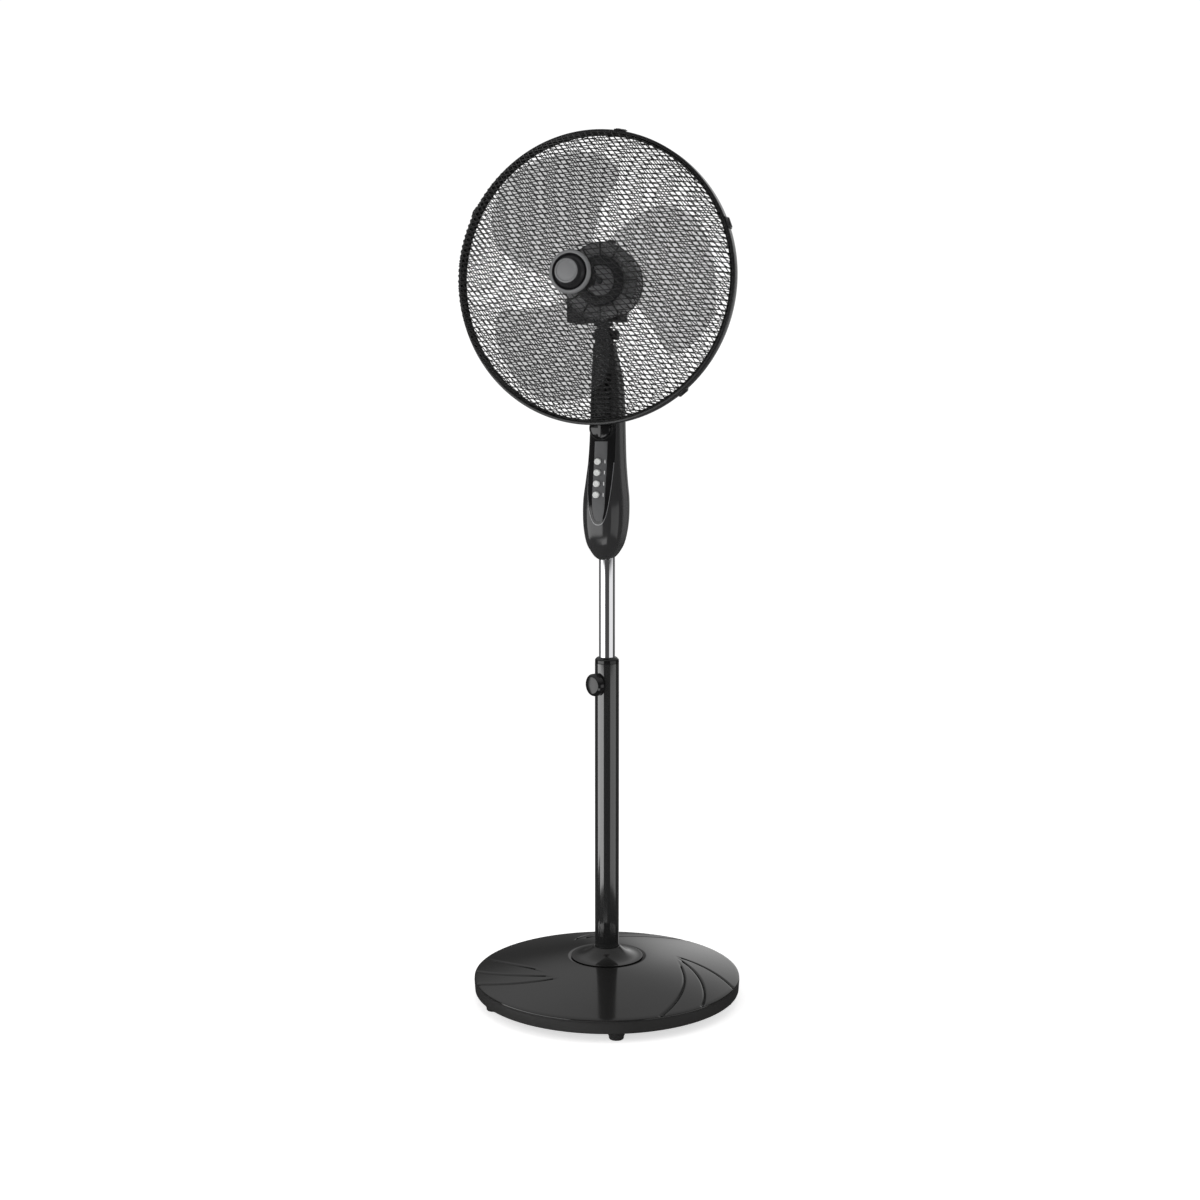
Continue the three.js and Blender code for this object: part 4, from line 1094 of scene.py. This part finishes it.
def build_rotor():
    hub = [(HUB_RADIUS, HUB_BACK), (HUB_RADIUS, HUB_FRONT - 9), (HUB_RADIUS - 8, HUB_FRONT - 0.5),
           (30, HUB_FRONT), (4.4, HUB_FRONT), (4.4, HUB_BACK + 8), (10, HUB_BACK + 8), (10, HUB_FRONT - 2.8),
           (HUB_RADIUS - 11, HUB_FRONT - 3.4), (HUB_RADIUS - 2.6, HUB_FRONT - 11),
           (HUB_RADIUS - 2.6, HUB_BACK)]
    hub_shape = along_fan(turned(hub, 4, 6, 128, closed=True))
    blades = [along_fan(blade(BLADE_FIRST_ANGLE + 120 * k)) for k in range(BLADE_COUNT)]
    shapes = [(*hub_shape, 1)] + [(*shape, 0) for shape in blades]
    make("rotor_blades", shapes, ["fan_blades"], "smoky_blade", [finishes["smoky_blade"], hub_smoke],
         sharp=50)
    front = HUB_FRONT + 0.3
    outline = [(0, front), (17, front), (17, front + 6), (13, front + 11), (0, front + 13.6)]
    grips = rods_around(AXIAL, 8, 16.6, 1.6, front + 0.4, front + 7.4, 0.5)
    make("spinner_nut", [along_fan(turned(outline, 3.0, 6, 64))] + grips, ["spinner"], "black_plastic")


# ---------- head: guards

FRONT_NET_PITCH = 7.4
REAR_NET_PITCH = 6.8
WIRE_RADIUS = 0.72
FRONT_NET_ANGLES = (-44.3, 4.0)
REAR_NET_ANGLES = (-55.0, -8.5)
DOME_RADIUS = 209.0
DOME_START = 84.0
DOME_RISE = 80.6


def front_profile():
    """(radius, forward) down the front guard, from inside the badge to the ring."""
    rows = []
    for k in range(81):
        share = sin(pi / 2 * k / 80)
        radius = 24 + (DOME_RADIUS - 24) * share
        height = max(1 - (radius / (DOME_RADIUS + 0.2)) ** 2.15, 0) ** 0.62
        rows.append((radius, DOME_START + DOME_RISE * height))
    rows += [(209.3, 80), (209.5, 76), (209.4, 71), (209.3, 66)]
    return rows


def rear_profile():
    keys = [(36, 32.6), (50, 33.2), (64, 35.5), (82, 38.5), (130, 43), (180, 48.5), (211, 55)]
    rows = []
    for k in range(91):
        radius = 36 + (211 - 36) * k / 90
        rows.append((radius, smooth_curve(keys, radius)[0]))
    return rows


def net(profile, pitch, family_angles, hole, lift):
    """Two families of crossing wires laid over a dome, an equal step apart along it."""
    inner_radius, inner_forward = profile[0]
    outer_radius = profile[-1][0]
    lengths = [0.0]
    for (r0, f0), (r1, f1) in zip(profile, profile[1:]):
        lengths.append(lengths[-1] + hypot(r1 - r0, f1 - f0))
    total = lengths[-1]

    def at_length(s):
        """(radius, forward) at a length down the profile."""
        if s <= 0:
            return inner_radius + s, inner_forward
        for start, end, a, b in zip(lengths, lengths[1:], profile, profile[1:]):
            if end >= s:
                t = (s - start) / (end - start)
                return a[0] + (b[0] - a[0]) * t, a[1] + (b[1] - a[1]) * t
        return profile[-1]

    def half_wire(nearest, first, raised):
        """(distance along the wire, forward) from its middle, or the hole's edge, to the rim."""
        half = []
        steps = max(6, int((total - first) / 5.5))
        for k in range(steps + 1):
            radius, forward = at_length(first + (total - first) * (k / steps) ** 1.6)
            radius = max(radius, nearest)
            if radius >= hole:
                half.append((sqrt(max(radius ** 2 - nearest ** 2, 0)), forward + raised))
        if nearest < hole:
            reach = sqrt(hole ** 2 - nearest ** 2)
            half = [h for h in half if h[0] > reach + 1.0]
            half.insert(0, (reach, half[0][1]))
        return half

    count = int((total + inner_radius) / pitch)
    shapes = []
    for degrees, raised in zip(family_angles, (0.0, lift)):
        along = Vector((cos(radians(degrees)), sin(radians(degrees)), 0))
        side = Vector((-along.y, along.x, 0))
        for index in range(-count, count + 1):
            down = abs(index * pitch) - inner_radius
            nearest = at_length(down)[0]
            if nearest > outer_radius - 1.0:
                continue
            half = half_wire(nearest, max(down, 0.0), raised)
            other = [(-t, f) for t, f in half]
            runs = [half, other] if nearest < hole else [other[:0:-1] + half]
            for run in runs:
                path = []
                for t, forward in run:
                    point = along * t + side * copysign(nearest, index) + Vector((0, 0, forward))
                    if not path or (point - path[-1]).length > 0.3:
                        path.append(point)
                if len(path) > 2:
                    shapes.append(along_fan(wire(path, WIRE_RADIUS, 6)))
    return shapes


def hoop(radius, forward, thickness):
    angles = [tau * k / 10 for k in range(10)]
    outline = [(radius + thickness * cos(a), forward + thickness * sin(a)) for a in angles]
    return along_fan(lathe(outline, 160, closed=True))


def build_guards():
    front = net(front_profile(), FRONT_NET_PITCH, FRONT_NET_ANGLES, BADGE_RADIUS - 4, 0.6)
    rims = [hoop(210.6, 64.5, 2.2), hoop(BADGE_RADIUS - 3, BADGE_BACK - 2.4, 1.8)]
    plate = along_fan(pipe(BADGE_RADIUS - 0.5, 24, BADGE_BACK - 3.4, BADGE_BACK - 0.4, 0.6))
    make("front_net", front + rims + [plate], ["front_guard"], "guard_black", sharp=60)
    rear = net(rear_profile(), REAR_NET_PITCH, REAR_NET_ANGLES, 57, -0.6)
    rims = [hoop(211, 55.5, 2.2)]
    plate = along_fan(pipe(58.5, 23.6, 30.3, 33.5, 0.8))
    rib = wire([(38, 0, 34), (48, 0, 34.4), (57, 0, 34)], 1.2, 8)
    ribs = [along_fan(rib, tau * k / 12) for k in range(12)]
    make("rear_net", rear + rims + [(*plate, 1)] + ribs, ["rear_guard"], "guard_black",
         [finishes["guard_black"], plate_grey], sharp=60)

    inside = RING_RADIUS - 2.2
    lip = 212
    ring = [(RING_RADIUS, RING_BACK), (RING_RADIUS, RING_FRONT), (lip, RING_FRONT), (lip, RING_FRONT - 1.5),
            (inside, RING_FRONT - 1.5), (inside, RING_BACK + 1.5), (lip, RING_BACK + 1.5), (lip, RING_BACK)]
    band = along_fan(turned(ring, 1.6, 5, 220, closed=True))
    make("guard_band", [band], ["guard_ring"], "ring_black")

    nut_front = -low("guard_nut").y
    nut_back = -high("guard_nut").y
    outline = [(23.6, nut_back), (38, nut_back), (38, nut_front - 2), (36, nut_front), (23.6, nut_front)]
    lobes = rods_around(AXIAL, 18, 36.6, 2.0, nut_back + 0.2, nut_front - 0.8, 0.6)
    make("rear_nut", [along_fan(turned(outline, 1, 4, 96, closed=True))] + lobes,
         ["guard_nut"], "black_plastic")
    for k in range(1, 5):
        build_clip(f"ring_clip_{k}")
    build_badge()


def build_clip(node):
    centre = centre_of(node)
    angle = atan2(centre.z - HEAD_Z, centre.x)
    radius = hypot(centre.x, centre.z - HEAD_Z)
    back, front = RING_BACK - 0.8, RING_FRONT + 0.8
    outline = [(-9, 0), (-8, 1.0), (-4, 1.5), (-2, 2.3), (2, 2.3), (4, 1.5), (8, 1.0), (9, 0)]
    arc = []
    for forward, length, rise in ((back, 0.95, 0.75), (back + 1, 1, 1), (front - 1, 1, 1), (front, 0.95, 0.75)):
        arc.append([(radius - 1.9 + h * rise, x * length, forward) for x, h in outline])
    bars = [box_shape((radius + 0.4, -7.5, f - 0.6), (radius + 1.0, 7.5, f + 0.6))
            for f in (back + 5, back + 9.5, back + 14)]
    shapes = [along_fan(shape, angle) for shape in [loft(arc)] + bars]
    make(node + "_latch", shapes, [node], "black_plastic", sharp=30)


def build_badge():
    back = BADGE_BACK
    lip = [(0, back), (BADGE_RADIUS - 0.4, back), (BADGE_RADIUS, back + 4.5), (BADGE_RADIUS - 2.2, back + 7),
           (BADGE_RADIUS - 5.0, back + 6.8)]
    dish = [(BADGE_RADIUS - 5.0, back + 6.8), (BADGE_RADIUS - 6.2, back + 5.6), (BADGE_RADIUS - 8, back + 3),
            (0, back + 3)]
    grey_and_black = [finishes["badge_grey"], finishes["black_plastic"]]
    bezel = along_fan(turned(lip, 1.4, 5, 128))
    bowl = along_fan(turned(dish, 1.0, 4, 128))
    make("badge_bezel", [(*bezel, 0), (*bowl, 1)], ["badge_ring"], "badge_grey", grey_and_black)
    base = back + 3.3
    face = BADGE_FRONT
    side = [(0, base), (24, base), (23, base + 2.5), (19.6, base + 7), (18.2, face - 3.4), (17.3, face - 1.2)]
    top = [(17.3, face - 1.2), (16.6, face - 0.4), (15, face - 0.1), (14.1, face - 1.0), (9, face - 0.5),
           (0, face - 0.2)]
    drum = along_fan(turned(side, 1.5, 4, 128))
    lid = along_fan(turned(top, 0.5, 3, 128))
    make("badge_cap", [(*drum, 1), (*lid, 0)], ["badge_disc"], "badge_grey", grey_and_black)


# ---------- carried-over CAD

def dress_cad():
    """CAD nodes that stay visible keep their shape and take their slot's material."""
    for name, node in frame["nodes"].items():
        node.data.materials.clear()
        node.data.materials.append(finishes[slot_of_node[name]])


def make_floor():
    mesh = bpy.data.meshes.new("floor")
    reach = 14.0
    mesh.from_pydata([(-reach, -reach, 0), (reach, -reach, 0), (reach, reach, 0), (-reach, reach, 0)], [],
                     [(0, 1, 2, 3)])
    floor = bpy.data.objects.new("floor", mesh)
    bpy.context.scene.collection.objects.link(floor)
    material = surface("floor", (0.82, 0.81, 0.81), 0.6, variation=0.01, grain=40)
    shader = material.node_tree.nodes["Principled BSDF"]
    shader.inputs["Emission Color"].default_value = (1, 1, 1, 1)
    shader.inputs["Emission Strength"].default_value = 0.62
    shader.inputs["Specular IOR Level"].default_value = 0.2
    mesh.materials.append(material)
    floor.visible_glossy = False


make_camera()
make_world()
make_lights()
make_floor()
dress_cad()
build_base()
build_column()
build_housing()
build_pivots()
build_motor()
build_rotor()
build_guards()
